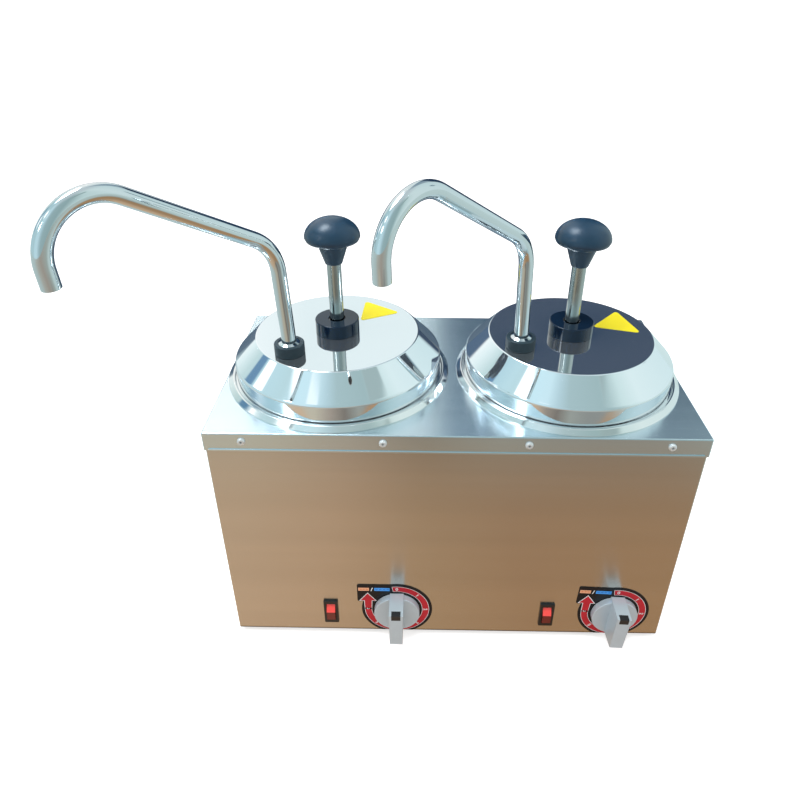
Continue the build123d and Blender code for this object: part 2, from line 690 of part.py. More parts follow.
def return_spring():
    """Coil between the valve body's socket floor and the piston."""
    free = PISTON_Z - SOCKET_Z - 2 * SPRING_WIRE_R
    coil = Helix(free / SPRING_TURNS, free, SPRING_R)
    section = Plane(origin=coil @ 0, z_dir=coil % 0) * RegularPolygon(SPRING_WIRE_R, 6)
    wire = sweep(section, path=coil, is_frenet=True)
    return Pos(0, 0, SOCKET_Z + SPRING_WIRE_R) * wire


# ---- spout -----------------------------------------------------------------------------

def spout_route():
    """Middle line of the spout in its own plane, x outwards and z up: runs joined by arcs."""
    lean = radians(SPOUT_LEAN)
    slope = radians(SPOUT_SLOPE)
    end_slope = radians(SPOUT_END_SLOPE)
    lean_cut = SPOUT_LEAN_RADIUS * tan(lean / 2)
    bend_cut = SPOUT_BEND_RADIUS * tan((radians(90) - lean - slope) / 2)
    hook_cut = SPOUT_HOOK_RADIUS * tan((slope - end_slope) / 2)
    corners = [(0.0, LID_TOP + NECK_H - SPOUT_PLUG), (0.0, NUT_TOP + 1.0 + lean_cut)]
    rise = (lean_cut + SPOUT_RISE + bend_cut, radians(90) - lean)
    run = (bend_cut + SPOUT_RUN + hook_cut, slope)
    tip = (hook_cut + SPOUT_TIP, end_slope)
    for length, angle in (rise, run, tip):
        x, z = corners[-1]
        corners.append((x + length * cos(angle), z + length * sin(angle)))
    points = [(x, 0, z) for x, z in corners]
    return FilletPolyline(*points, radius=[SPOUT_LEAN_RADIUS, SPOUT_BEND_RADIUS, SPOUT_HOOK_RADIUS])


def spout_tube(side):
    """Bent tube, open at both ends, with the ferrule that seats on the neck."""
    route = spout_route()
    start = Plane(origin=route @ 0, z_dir=(0, 0, 1))
    outside = sweep(start * Circle(SPOUT_R), path=route)
    bore = sweep(start * Circle(SPOUT_R - SPOUT_WALL), path=route)
    seat = LID_TOP + NECK_H
    brazed_r = SPOUT_R - 0.3
    slope = [(FERRULE_R, seat), (FERRULE_R, seat + 2.5), (SPOUT_R, seat + FERRULE_H)]
    tube = outside - bore + turned([(brazed_r, seat)] + slope + [(brazed_r, seat + FERRULE_H)])
    x, y = nut_place(side)
    return Pos(x, y, 0) * Rot(0, 0, SPOUT_AIM[side]) * tube


# ---- everything ------------------------------------------------------------------------

def housing_nodes():
    nodes = {
        "front_panel": front_panel(),
        "top_deck": top_deck(),
        "rear_panel": rear_panel(),
        "base_tray": base_tray(),
        "housing_screws": Compound(housing_screws()),
        "rubber_feet": Compound(rubber_feet()),
        "cable_gland": cable_gland(),
        "terminal_block": terminal_block(),
    }
    for side in SIDES:
        nodes["side_panel_" + side] = side_panel(side)
        nodes["water_bath_" + side] = water_bath(side)
        nodes["heater_" + side] = heater(side)
        nodes["thermostat_" + side] = thermostat(side)
        nodes["dial_plate_" + side] = dial_plate(side)
        nodes["switch_body_" + side] = switch_body(side)
    return nodes


def side_nodes(side):
    """The pieces of one side that lift, slide or turn."""
    pump = {
        "pump_cylinder": pump_cylinder(),
        "pump_collar": pump_collar(),
        "guide_bush": guide_bush(),
        "valve_body": valve_body(),
        "discharge_tube": discharge_tube(),
        "spout_nut": spout_nut(),
        "inlet_ball": seated_ball(0, SEAT_Z),
        "outlet_ball": seated_ball(OUTLET_OFFSET, OUTLET_SEAT_Z),
        "plunger_rod": plunger_rod(),
        "plunger_knob": plunger_knob(),
        "piston": piston(),
        "piston_seal": piston_seal(),
        "return_spring": return_spring(),
    }
    nodes = {name + "_" + side: at_pot(shape, side, LID_TURN[side]) for name, shape in pump.items()}
    nodes["pot_" + side] = pot(side)
    nodes["lid_" + side] = lid(side)
    nodes["spout_tube_" + side] = spout_tube(side)
    nodes["rocker_" + side] = rocker(side)
    nodes["thermostat_knob_" + side] = thermostat_knob(side)
    nodes["knob_pointer_" + side] = knob_pointer(side)
    nodes["spindle_" + side] = spindle(side)
    return nodes


def all_nodes():
    nodes = housing_nodes()
    for side in SIDES:
        nodes.update(side_nodes(side))
    return nodes


def row_origin(nodes):
    """Middle of the box round every node, at the table."""
    boxes = [shape.bounding_box() for shape in nodes.values()]
    low_x, low_y = min(box.min.X for box in boxes), min(box.min.Y for box in boxes)
    high_x, high_y = max(box.max.X for box in boxes), max(box.max.Y for box in boxes)
    return ((low_x + high_x) / 2, (low_y + high_y) / 2)


NODES = all_nodes()
ORIGIN_X, ORIGIN_Y = row_origin(NODES)
for node_name, node_shape in NODES.items():
    export_step(Pos(-ORIGIN_X, -ORIGIN_Y, 0) * node_shape, "parts/" + node_name + ".step")
print("nodes", len(NODES), "housing middle at", -ORIGIN_X, -ORIGIN_Y)
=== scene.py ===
# %% [markdown]
# # Twin topping warmer: looks
# The warmer is a folded steel housing with two hot-water baths. In each bath hangs a spun pot, and
# its polished lid carries a pump: a rod with a palm knob, a black collar, and a bent spout under a
# knurled nut. The exact parts come from the CAD frame. Here we rebuild the polished pieces as
# finely divided surfaces, because a mirror finish shows every facet, and we give each piece its
# finish.

# %% Load the frame
import json

import bmesh
import bpy
import numpy as np
from mathutils import Matrix, Vector


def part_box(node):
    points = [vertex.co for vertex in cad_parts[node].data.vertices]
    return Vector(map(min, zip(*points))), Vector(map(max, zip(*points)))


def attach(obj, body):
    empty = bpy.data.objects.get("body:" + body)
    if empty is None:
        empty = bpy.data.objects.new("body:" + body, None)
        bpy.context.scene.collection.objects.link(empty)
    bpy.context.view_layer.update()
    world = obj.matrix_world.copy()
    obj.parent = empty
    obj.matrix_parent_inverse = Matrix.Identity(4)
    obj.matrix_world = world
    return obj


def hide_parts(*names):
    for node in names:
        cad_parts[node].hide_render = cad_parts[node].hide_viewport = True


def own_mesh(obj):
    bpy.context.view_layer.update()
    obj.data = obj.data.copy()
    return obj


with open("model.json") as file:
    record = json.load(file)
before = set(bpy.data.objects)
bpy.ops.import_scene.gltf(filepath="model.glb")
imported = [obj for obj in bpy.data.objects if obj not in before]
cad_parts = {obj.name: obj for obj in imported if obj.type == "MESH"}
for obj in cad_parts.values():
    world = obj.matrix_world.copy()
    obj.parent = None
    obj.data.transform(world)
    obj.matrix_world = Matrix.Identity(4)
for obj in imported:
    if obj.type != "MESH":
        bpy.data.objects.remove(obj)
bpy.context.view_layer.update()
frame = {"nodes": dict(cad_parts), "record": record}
NODES = frame["nodes"]
SIDES = ("left", "right")
MM = 0.001
print("frame with", len(NODES), "nodes")

# %% [markdown]
# ## Places taken from the frame
# Every piece sits on its CAD node, so the sizes we need come from the nodes' boxes. A turned piece
# has its axis in the middle of its box. The spouts' directions are the only angles that a box can't
# tell, so they are named here.

# %% Places
SPOUT_AIM = {"left": -131.5, "right": -130.9}


def low(node):
    """Lowest corner of a node's box."""
    return np.array(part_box(node)[0])


def high(node):
    """Highest corner of a node's box."""
    return np.array(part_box(node)[1])


def middle(node):
    """Middle of a node's box."""
    return (low(node) + high(node)) / 2


def turned(node):
    """Bottom, top and outer radius of a turned node."""
    bottom, top = low(node), high(node)
    return bottom[2], top[2], (top - bottom)[0] / 2


POT_AXIS = {side: middle("pump_collar_" + side) for side in SIDES}
NUT_AXIS = {side: middle("spout_nut_" + side) for side in SIDES}
LID_TOP = low("pump_collar_left")[2]
DECK_TOP = high("top_deck")[2]
HOUSING_MIDDLE = middle("top_deck")
print(f"lid top at {LID_TOP:.4f} m, deck top at {DECK_TOP:.4f} m")

# %% [markdown]
# ## Surfaces on a grid
# A grid surface is a function of two parameters, u and v, worked out for the whole grid at once.
# Closing it in u or v joins the last row to the first. One helper turns such an array into a mesh,
# merges the points that meet at a pole, and smooths it, keeping real corners sharp. Most of the
# polished parts come twice, so another makes one on each side.

# %% Grid to mesh
SHARP_ANGLE = np.radians(32.0)
FLAT_ANGLE = np.radians(0.5)
SAME_POINT = 1e-6
NO_LENGTH = 1e-7


def faces_of(rows, columns, close_rows, close_columns):
    """Corner numbers of every four-sided face of a grid, as an array."""
    u = np.arange(rows if close_rows else rows - 1)
    v = np.arange(columns if close_columns else columns - 1)
    a, b = np.meshgrid(u, v, indexing="ij")
    next_a, next_b = (a + 1) % rows, (b + 1) % columns
    near, far = a * columns, next_a * columns
    return np.stack([near + b, far + b, far + next_b, near + next_b], -1).reshape(-1, 4)


def tidy(mesh, outward=True, flatten=False):
    """Merge doubled points, point the faces outwards and smooth all but real corners.

    Flattening also joins the triangles of each flat face into one face.
    """
    work = bmesh.new()
    work.from_mesh(mesh)
    bmesh.ops.remove_doubles(work, verts=work.verts, dist=SAME_POINT)
    bmesh.ops.dissolve_degenerate(work, edges=work.edges, dist=NO_LENGTH)
    if flatten:
        bmesh.ops.dissolve_limit(
            work, angle_limit=FLAT_ANGLE, verts=work.verts, edges=work.edges)
    if outward:
        bmesh.ops.recalc_face_normals(work, faces=work.faces)
    work.to_mesh(mesh)
    work.free()
    mesh.shade_smooth()
    mesh.set_sharp_from_angle(angle=SHARP_ANGLE)


def mesh_from(name, points, faces, material):
    """A mesh from an array of points and the corner numbers of its faces."""
    mesh = bpy.data.meshes.new(name)
    rows = np.asarray(points, float).reshape(-1, 3).tolist()
    mesh.from_pydata(rows, [], [list(face) for face in faces])
    mesh.materials.append(material)
    return mesh


def placed(name, data):
    """An object at the origin that shows the data, whose own points hold its place."""
    obj = bpy.data.objects.new(name, data)
    bpy.context.collection.objects.link(obj)
    return obj


def piece(name, points, faces, material, body, replaces=(), slot=None, outward=True):
    """A mesh piece that rides on a body, with its finish and the nodes that it stands for."""
    mesh = mesh_from(name, points, faces, material)
    tidy(mesh, outward)
    obj = placed(name, mesh)
    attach(obj, body)
    if replaces:
        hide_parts(*replaces)
    print(name, len(mesh.polygons), "faces")
    return obj


def grid_piece(name, grid, close, material, body, **more):
    """A piece from a (rows, columns, 3) array; close says which directions join up."""
    rows, columns = grid.shape[:2]
    piece(name, grid, faces_of(rows, columns, *close), material, body, **more)


def pair(name, grid_of, material, body, node, slot, close=(True, True)):
    """On each side a piece, with its grid from a function of the side, that stands for a node."""
    for side in SIDES:
        grid_piece(f"{name}_{side}", grid_of(side), close, material, f"{body}_{side}",
                   replaces=[f"{node}_{side}"], slot=slot)


# %% [markdown]
# ## Profiles and spinning
# Spun and turned pieces are profiles carried round an axis. A profile is a line of straight runs
# whose corners are rounded: each corner is cut back by its radius and filled with an arc. Next to
# each arc we keep a narrow band of points, so that the smoothing of the arc doesn't bend the
# reflections of the flat beside it.

# %% Rounded profiles
ARC_STEPS = 8
FINE_TURN, PLAIN_TURN, SMALL_TURN = 256, 128, 96
FLANK = 0.25 * MM


def unit(vectors):
    """The same directions at length one."""
    return vectors / np.linalg.norm(vectors, axis=-1, keepdims=True)


def rounded(corners, radii, steps=ARC_STEPS):
    """Points of an open line through corners, each inner corner filled by an arc of its radius r.

    The arc takes r / tan(half the corner's angle) off each leg. Its centre lies on the bisector,
    r / sin(half the angle) from the corner, and its points are at equal angles.
    """
    corners = np.asarray(corners, float)
    out = [corners[:1]]
    for i, radius in enumerate(radii, start=1):
        here = corners[i]
        if radius <= 0:
            out.append(here[None])
            continue
        back, ahead = unit(corners[i - 1] - here), unit(corners[i + 1] - here)
        half = np.arccos(np.clip(back @ ahead, -1, 1)) / 2
        tangent = radius / np.tan(half)
        centre = here + unit(back + ahead) * radius / np.sin(half)
        start, end = here + back * tangent - centre, here + ahead * tangent - centre
        sweep = np.pi - 2 * half
        t = np.linspace(0, 1, steps + 1)[:, None]
        arc = (np.sin((1 - t) * sweep) * start + np.sin(t * sweep) * end) / np.sin(sweep)
        flank = tangent + FLANK
        out += [here[None] + back * flank, centre + arc, here[None] + ahead * flank]
    out.append(corners[-1:])
    return np.concatenate(out)


def walled(path, wall):
    """A closed profile: the path, and back along it moved right by the wall's thickness."""
    step = unit(np.gradient(path, axis=0))
    inner = path + wall * np.stack([step[:, 1], -step[:, 0]], 1)
    inner[:, 0] = np.maximum(inner[:, 0], 0)
    return np.concatenate([path, inner[::-1]])


def full_turn(count):
    """Equal angles round a circle, as one row."""
    return np.linspace(0, 2 * np.pi, count, endpoint=False)[None]


def around(axis, radius, height, angle):
    """Points round the vertical line through axis: (r cos angle, r sin angle, height)."""
    x, y = axis[0] + radius * np.cos(angle), axis[1] + radius * np.sin(angle)
    return np.stack([x, y, height + 0 * angle], -1)


def spun(profile, axis, segments):
    """Grid of a profile (radius, height) carried round the vertical line through axis."""
    return around(axis, profile[:, :1], profile[:, 1:], full_turn(segments))


# %% [markdown]
# ## Building finishes from nodes
# Each finish is one Principled shader. Patterns read Object coordinates, so they stay put on the
# piece when it moves. Small helpers keep the node code short: one fills a socket with a value or a
# link, one makes a node with its settings and inputs, and one tells which rays are looking.

# %% Node helpers
def fill(tree, socket, value):
    """Link a socket from an output, or give it a fixed value."""
    if hasattr(value, "is_output"):
        tree.links.new(value, socket)
    else:
        socket.default_value = value


def add_node(tree, kind, inputs=None, **settings):
    """A new node in a tree, with its settings and its inputs filled."""
    made = tree.nodes.new(kind)
    for key, value in settings.items():
        setattr(made, key, value)
    for key, value in (inputs or {}).items():
        fill(tree, made.inputs[key], value)
    return made


def camera_or_reflection(tree):
    """One where a camera, glossy or transmission ray looks, nought for the light on surfaces."""
    rays = add_node(tree, "ShaderNodeLightPath").outputs
    seen = rays["Is Camera Ray"]
    for other in ("Is Glossy Ray", "Is Transmission Ray"):
        seen = add_node(tree, "ShaderNodeMath", {0: seen, 1: rays[other]},
                        operation="MAXIMUM").outputs[0]
    return seen


# %% A finish under construction
class Finish:
    """A material under construction: its nodes, its links and its Principled shader."""

    def __init__(self, name, colour, roughness, metallic=0.0, **values):
        """Start with even values; a name such as Coat_Weight stands for the socket Coat Weight."""
        self.material = bpy.data.materials.new(name)
        self.material.use_nodes = True
        self.tree = self.material.node_tree
        self.shader = self.tree.nodes["Principled BSDF"]
        self.coords = self.node("ShaderNodeTexCoord")
        self.set("Base Color", (*colour, 1.0))
        self.set("Roughness", roughness)
        self.set("Metallic", metallic)
        for key, value in values.items():
            self.set(key.replace("_", " "), value)
        self.material.diffuse_color = (*colour, 1.0)

    def node(self, kind, inputs=None, **settings):
        """A node in this finish's tree."""
        return add_node(self.tree, kind, inputs, **settings)

    def set(self, socket, value):
        """Fill one of the shader's own sockets."""
        fill(self.tree, self.shader.inputs[socket], value)

    def noise(self, scale, detail=2.0, roughness=0.5, vector=None):
        """Noise stretched by a scale for each axis, on Object coordinates."""
        source = vector or self.coords.outputs["Object"]
        spread = self.node("ShaderNodeMapping", {"Vector": source, "Scale": scale})
        noise = self.node("ShaderNodeTexNoise", {"Vector": spread.outputs[0], "Scale": 1.0,
                                                 "Detail": detail, "Roughness": roughness})
        return noise.outputs[0]

    def ramp(self, value, low_in, high_in, low_out, high_out):
        """Straight-line change of one range into another, held at its ends."""
        inputs = {0: value, 1: low_in, 2: high_in, 3: low_out, 4: high_out}
        return self.node("ShaderNodeMapRange", inputs).outputs[0]

    def blend(self, factor, first, second):
        """Mix of two colours by a factor."""
        ends = [c if hasattr(c, "is_output") else (*c, 1.0) for c in (first, second)]
        inputs = {0: factor, 6: ends[0], 7: ends[1]}
        return self.node("ShaderNodeMix", inputs, data_type="RGBA").outputs[2]

    def math(self, operation, first, second=0.0):
        """One sum or comparison of two values."""
        return self.node("ShaderNodeMath", {0: first, 1: second}, operation=operation).outputs[0]

    def bump(self, height, strength, distance):
        """Let the light see a height that the mesh doesn't have."""
        inputs = {"Height": height, "Strength": strength, "Distance": distance}
        self.set("Normal", self.node("ShaderNodeBump", inputs).outputs[0])


# %% [markdown]
# ## Brushed sheet
# The housing is sheet steel brushed along its length. Brushing leaves fine parallel lines, so the
# reflection smears across them. We stretch noise along the lines for the roughness and the bump,
# and give the shader some anisotropy across them. Handling adds a few faint specks, and the last
# two millimetres above the feet are painted darker, a painted shade line along the bottom edge.

# %% Brushed steel
FOOT_H = 8.0 * MM
FOOT_SHADE_HEIGHTS = (FOOT_H + 0.8 * MM, FOOT_H + 2.0 * MM)
LINES_ALONG_X = (14.0, 2600.0, 2600.0)
LINES_ALONG_Y = (2600.0, 14.0, 2600.0)
BROAD_LINES = (2.0, 160.0, 160.0)
BROAD_BANDS = (0.6, 26.0, 26.0)
LINE_DEPTH = 0.03 * MM
PIT_SCALE = (420.0,) * 3
PIT_LEVEL = (0.765, 0.79)
PIT_COLOUR = (0.85, 0.85, 0.82)
LINE_GLOSS = (0.92, 1.08)
FINE_SHARE, BROAD_SHARE = 0.7, 0.3
STREAK_LEVEL, BAND_LEVEL = (0.3, 0.7), (0.35, 0.65)
SIDEWAYS = (0.4, 0.6)
LINE_STRENGTH = 0.03
BAND_SHADE, FOOT_SHADE_LEVEL = 0.95, 0.25


def brushed_steel(name, colour, roughness, specks=0.6, smear=0.75):
    """Steel brushed along X on the faces that look up, front or back, and along Y on the ends."""
    finish = Finish(name, colour, roughness, 1.0, Anisotropic=smear)
    facing = finish.node("ShaderNodeNewGeometry").outputs["Normal"]
    parts = finish.node("ShaderNodeSeparateXYZ", {0: facing})
    lines = finish.ramp(finish.math("ABSOLUTE", parts.outputs[0]), *SIDEWAYS, 0.0, 1.0)
    fine_x = finish.noise(LINES_ALONG_X, 2.0, 0.6)
    fine_y = finish.noise(LINES_ALONG_Y, 2.0, 0.6)
    fine = finish.node("ShaderNodeMix", {0: lines, 2: fine_x, 3: fine_y}).outputs[0]
    broad = finish.math("MULTIPLY", finish.noise(BROAD_LINES, 2.0), BROAD_SHARE)
    streaks = finish.math("ADD", finish.math("MULTIPLY", fine, FINE_SHARE), broad)
    gloss = [roughness * change for change in LINE_GLOSS]
    finish.set("Roughness", finish.ramp(streaks, *STREAK_LEVEL, *gloss))
    pits = finish.ramp(finish.noise(PIT_SCALE, 1.0), *PIT_LEVEL, 0.0, specks)
    dark = tuple(c * BAND_SHADE for c in colour)
    bands = finish.noise(BROAD_BANDS, 3.0)
    base = finish.blend(finish.ramp(bands, *BAND_LEVEL, 0.0, 1.0), dark, colour)
    speckled = finish.blend(pits, base, PIT_COLOUR)
    height = finish.node("ShaderNodeSeparateXYZ", {0: finish.coords.outputs["Object"]}).outputs[2]
    # Painted shade: below 8.8 mm the colour drops to a quarter, fading back by 10 mm, as a dark
    # line along the bottom edge.
    painted_shade_share = finish.ramp(height, *FOOT_SHADE_HEIGHTS, 1.0, 0.0)
    painted_shade_colour = tuple(c * FOOT_SHADE_LEVEL for c in colour)
    finish.set("Base Color", finish.blend(painted_shade_share, speckled, painted_shade_colour))
    across = finish.node("ShaderNodeCombineXYZ", {1: finish.math("SUBTRACT", 1.0, lines), 2: 1.0})
    finish.set("Tangent", across.outputs[0])
    finish.bump(fine, LINE_STRENGTH, LINE_DEPTH)
    return finish.material


DECK_STEEL = brushed_steel("brushed_deck_steel", (0.71, 0.80, 0.85), 0.24)
PANEL_STEEL = brushed_steel("brushed_panel_steel", (0.66, 0.63, 0.59), 0.25)
TRAY_STEEL = brushed_steel("rolled_tray_steel", (0.55, 0.56, 0.57), 0.42, 0.2)
print("brushed finishes:", DECK_STEEL.name, PANEL_STEEL.name, TRAY_STEEL.name)

# %% [markdown]
# ## Polished steel
# Lids, pots, rods and spouts are polished until they mirror the room. Real polish isn't perfect: it
# keeps a very fine grain, a soft waviness from spinning, and the haze of finger marks. Each of
# those is a weak noise, one in the roughness and one in the bump.

# %% Polished steel
HAZE_SCALE = (38.0,) * 3
HAZE_LEVEL, HAZE_SPREAD = (0.40, 0.75), 2.6
WAVE_SCALE = (55.0, 55.0, 40.0)
POLISH_SCALE = (1600.0,) * 3
WAVE_STRENGTH, WAVE_DEPTH = 0.35, 0.2 * MM


def polished_steel(name, colour, roughness, wave, grain, metallic=1.0):
    """Mirror steel: haze in the roughness, waves of about 2 cm and fine grain in the bump."""
    finish = Finish(name, colour, roughness, metallic)
    haze = finish.noise(HAZE_SCALE, 4.0, 0.6)
    hazy = finish.ramp(haze, *HAZE_LEVEL, roughness, roughness * HAZE_SPREAD)
    finish.set("Roughness", hazy)
    waves = finish.math("MULTIPLY", finish.noise(WAVE_SCALE, 1.0), wave)
    fine = finish.math("MULTIPLY", finish.noise(POLISH_SCALE, 2.0), grain)
    finish.bump(finish.math("ADD", waves, fine), WAVE_STRENGTH, WAVE_DEPTH)
    return finish.material


LID_STEEL = polished_steel("mirror_lid_steel", (0.83, 0.87, 0.90), 0.030, 0.35, 0.012,
                           metallic=0.96)
POT_STEEL = polished_steel("bright_pot_steel", (0.82, 0.83, 0.83), 0.075, 0.3, 0.02)
TUBE_STEEL = polished_steel("polished_tube_steel", (0.68, 0.72, 0.74), 0.055, 0.25, 0.03)
ROD_STEEL = polished_steel("ground_rod_steel", (0.42, 0.45, 0.44), 0.12, 0.15, 0.05)
SPUN_STEEL = polished_steel("spun_bath_steel", (0.66, 0.66, 0.67), 0.22, 0.3, 0.05)
TURNED_STEEL = polished_steel("turned_fitting_steel", (0.62, 0.62, 0.63), 0.2, 0.1, 0.06)
SCREW_STEEL = polished_steel("screw_steel", (0.74, 0.76, 0.77), 0.3, 0.1, 0.1, metallic=0.6)
print("finishes so far:", len(bpy.data.materials))

# %% [markdown]
# ## Plastics and rubber
# The collar, nut and knob are black plastic with different polish, the dial knob is silver paint on
# plastic, and the rocker is clear red plastic with painted light on its facets. Moulded plastic is
# a
# little uneven: its gloss varies softly, and its skin has a fine grain. The changes in gloss are
# kept small, because a clean-up of the picture's noise can draw a line where a surface passes from
# glossy to satin.

# %% Plastics
CLOUD_SCALE = (60.0,) * 3
CLOUD_LEVEL = (0.3, 0.7)
GLOSS_CHANGE = (0.95, 1.2)
SKIN_DEPTH = 0.03 * MM
PAINTED_LIGHT_FACING = (0.12, 0.4)
RED_CLOUD, RED_CHANGE = (300.0,) * 3, 0.1
RED_GLOSS, RED_COAT = 0.12, 0.6


def moulded(name, colour, roughness, grain=0.3, grain_scale=1500.0, fleck=0.08, **values):
    """Moulded plastic: soft gloss changes, a fine grain and slightly uneven colour."""
    finish = Finish(name, colour, roughness, values.pop("metallic", 0.0), **values)
    cloud = finish.noise(CLOUD_SCALE, 3.0)
    gloss = [roughness * change for change in GLOSS_CHANGE]
    finish.set("Roughness", finish.ramp(cloud, *CLOUD_LEVEL, *gloss))
    darker = tuple(c * (1 - fleck) for c in colour)
    lighter = tuple(min(1.0, c * (1 + fleck)) for c in colour)
    patches = finish.ramp(cloud, *CLOUD_LEVEL, 0.0, 1.0)
    finish.set("Base Color", finish.blend(patches, darker, lighter))
    finish.bump(finish.noise((grain_scale,) * 3, 2.0), grain, SKIN_DEPTH)
    return finish.material


def clear_red(name, painted_shade_red, painted_lit_red):
    """Clear red plastic over a lamp, with painted light: facets that look up are painted lit, the
    others painted shaded and deep.
    """
    finish = Finish(name, painted_lit_red, RED_GLOSS, Coat_Weight=RED_COAT)
    facing = finish.node("ShaderNodeSeparateXYZ", {0: finish.coords.outputs["Normal"]}).outputs[2]
    cloud = finish.math("MULTIPLY", finish.noise(RED_CLOUD), RED_CHANGE)
    light = finish.ramp(finish.math("ADD", facing, cloud), *PAINTED_LIGHT_FACING, 0.0, 1.0)
    finish.set("Base Color", finish.blend(light, painted_shade_red, painted_lit_red))
    return finish.material


COLLAR_BLACK = moulded("gloss_black_collar", (0.004, 0.014, 0.034), 0.06, 0.02,
                       Specular_IOR_Level=0.42)
NUT_BLACK = moulded("black_knurled_nut", (0.018, 0.036, 0.050), 0.34, 0.2)
KNOB_BLACK = moulded("satin_black_knob", (0.008, 0.032, 0.064), 0.30, 0.05, 400.0)
DIAL_SILVER = moulded("silver_dial_knob", (0.52, 0.60, 0.66), 0.30, 0.02, 400.0, 0.02,
                      metallic=0.3)
POINTER_BLACK = moulded("pointer_black", (0.014, 0.014, 0.017), 0.3, 0.1)
DIAL_FACE = moulded("dial_face_black", (0.007, 0.008, 0.011), 0.22, 0.05,
                    Specular_IOR_Level=0.25)
SWITCH_BLACK = moulded("switch_bezel_black", (0.010, 0.010, 0.012), 0.2, 0.05)
# Painted light: the rocker's up-facing facets are painted a lit red, the rest a shaded red.
ROCKER_RED = clear_red("rocker_clear_red", (0.13, 0.002, 0.006), (0.95, 0.08, 0.07))
FOOT_RUBBER = moulded("foot_rubber", (0.022, 0.022, 0.023), 0.75, 0.6, 1200.0)
SEAL_RUBBER = moulded("seal_rubber", (0.05, 0.035, 0.028), 0.6, 0.4)
PUMP_WHITE = moulded("pump_white_plastic", (0.78, 0.78, 0.75), 0.4, 0.2)
BLOCK_CREAM = moulded("terminal_cream_plastic", (0.70, 0.66, 0.55), 0.5, 0.2)
SHEATH_DARK = moulded("heater_sheath", (0.16, 0.155, 0.15), 0.45, 0.3, metallic=0.8)
PRINT_RED = moulded("print_red", (0.50, 0.008, 0.022), 0.3, 0.05, Specular_IOR_Level=0.3)
PRINT_COLOURS = {
    "white": (0.82, 0.80, 0.80), "orange": (0.85, 0.40, 0.22), "blue": (0.045, 0.33, 0.86),
    "rust": (0.62, 0.16, 0.06), "navy": (0.02, 0.13, 0.55),
}
PRINT_WHITE, PRINT_ORANGE, PRINT_BLUE, PRINT_RUST, PRINT_NAVY = [
    moulded("print_" + name, colour, 0.3, 0.05) for name, colour in PRINT_COLOURS.items()]
PLATE_YELLOW = moulded("plate_yellow", (0.86, 0.74, 0.014), 0.45, 0.02, fleck=0.02)
print("finishes so far:", len(bpy.data.materials))

# %% [markdown]
# ## Finishes for the CAD nodes that stay
# Nodes whose shape is already right keep it and only get a finish. Curved ones are shown by a
# merged, smoothed copy of themselves, since a CAD mesh is loose triangles that would shade as
# facets.

# %% Node finishes
NODE_FINISH = {
    "top_deck": DECK_STEEL, "front_panel": PANEL_STEEL, "side_panel": PANEL_STEEL,
    "rear_panel": PANEL_STEEL, "base_tray": TRAY_STEEL, "cable_gland": SWITCH_BLACK,
    "terminal_block": BLOCK_CREAM, "rubber_feet": FOOT_RUBBER, "water_bath": SPUN_STEEL,
    "heater": SHEATH_DARK, "thermostat": TRAY_STEEL, "dial_plate": DIAL_FACE,
    "switch_body": SWITCH_BLACK, "pump_cylinder": TURNED_STEEL, "guide_bush": PUMP_WHITE,
    "valve_body": PUMP_WHITE, "discharge_tube": TURNED_STEEL, "piston": PUMP_WHITE,
    "piston_seal": SEAL_RUBBER, "return_spring": TURNED_STEEL, "inlet_ball": TUBE_STEEL,
    "outlet_ball": TUBE_STEEL, "thermostat_knob": DIAL_SILVER, "knob_pointer": POINTER_BLACK,
    "spindle": TURNED_STEEL, "rocker": ROCKER_RED, "plunger_rod": ROD_STEEL,
}
SMOOTHED = ("thermostat_knob", "plunger_rod", "rocker", "switch_body", "cable_gland", "rubber_feet",
            "water_bath", "pump_cylinder", "valve_body", "discharge_tube", "return_spring")


def plain_name(node):
    """A node's name without its side."""
    for side in SIDES:
        if node.endswith("_" + side):
            return node[: -len(side) - 1]
    return node


def body_of_node(node):
    """The body that carries a node, from the record."""
    bodies = frame["record"]["behaviour"]["bodies"]
    return next(body for body, nodes in bodies.items() if node in nodes)


def smooth_copy(node, material):
    """A merged and smoothed copy of a node's mesh, which stands for the node."""
    mesh = NODES[node].data.copy()
    mesh.name = node + "_smooth"
    mesh.materials.clear()
    mesh.materials.append(material)
    tidy(mesh, outward=False, flatten=True)
    obj = placed(node + "_smooth", mesh)
    even = obj.modifiers.new("even_shading", "WEIGHTED_NORMAL")
    even.keep_sharp, even.weight = True, 100
    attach(obj, body_of_node(node))
    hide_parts(node)
    return obj


smooth = {}
for node, obj in NODES.items():
    finish = NODE_FINISH.get(plain_name(node))
    if finish is None:
        continue
    if plain_name(node) in SMOOTHED:
        smooth[node] = smooth_copy(node, finish)
    else:
        obj.data.materials.clear()
        obj.data.materials.append(finish)
print("nodes shown by a smoothed copy:", len(smooth))

# %% [markdown]
# ## Return springs
# The spring under each piston closes up as the plunger goes down. It stands on the cylinder's foot.
# Here each spring's smoothed copy only gets a mesh of its own.

for side in SIDES:
    spring, press = "return_spring_" + side, "plunger_press_" + side
    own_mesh(smooth[spring])

# %% [markdown]
# ## Screws
# Twelve button-head screws hold the deck's rim to the body and six hold the rear panel. A head is
# turned, with a cross recess pressed into its top. We spin one profile and let the recess swell
# four times round the turn, then set the same screw at each place, looking out of its sheet.

# %% Screws
HEM_T = 0.9 * MM
RETURN_MIDDLE = 8.0 * MM
RIM_DROP = 8.5 * MM
RIM_SHARES = (-0.8444, -0.2867, 0.2867, 0.8444)
END_SHARES = (-0.5, 0.5)
REAR_HEIGHTS = (24 * MM, 130 * MM)
REAR_TOP_DROP = 33 * MM
SCREW_PROFILE = MM * np.array([
    (0, -0.6), (0.8, -0.6), (1.1, 1.3), (1.25, 1.95), (1.9, 2.0), (2.7, 1.8), (3.3, 1.3),
    (3.6, 0.5), (3.6, 0.0), (1.9, 0.0), (1.9, -7.0), (0, -7.0)])
SCREW_RECESS = MM * np.array([0, 0.2, 0.35, 0.3] + [0] * 8)
SCREW_STEPS = 32


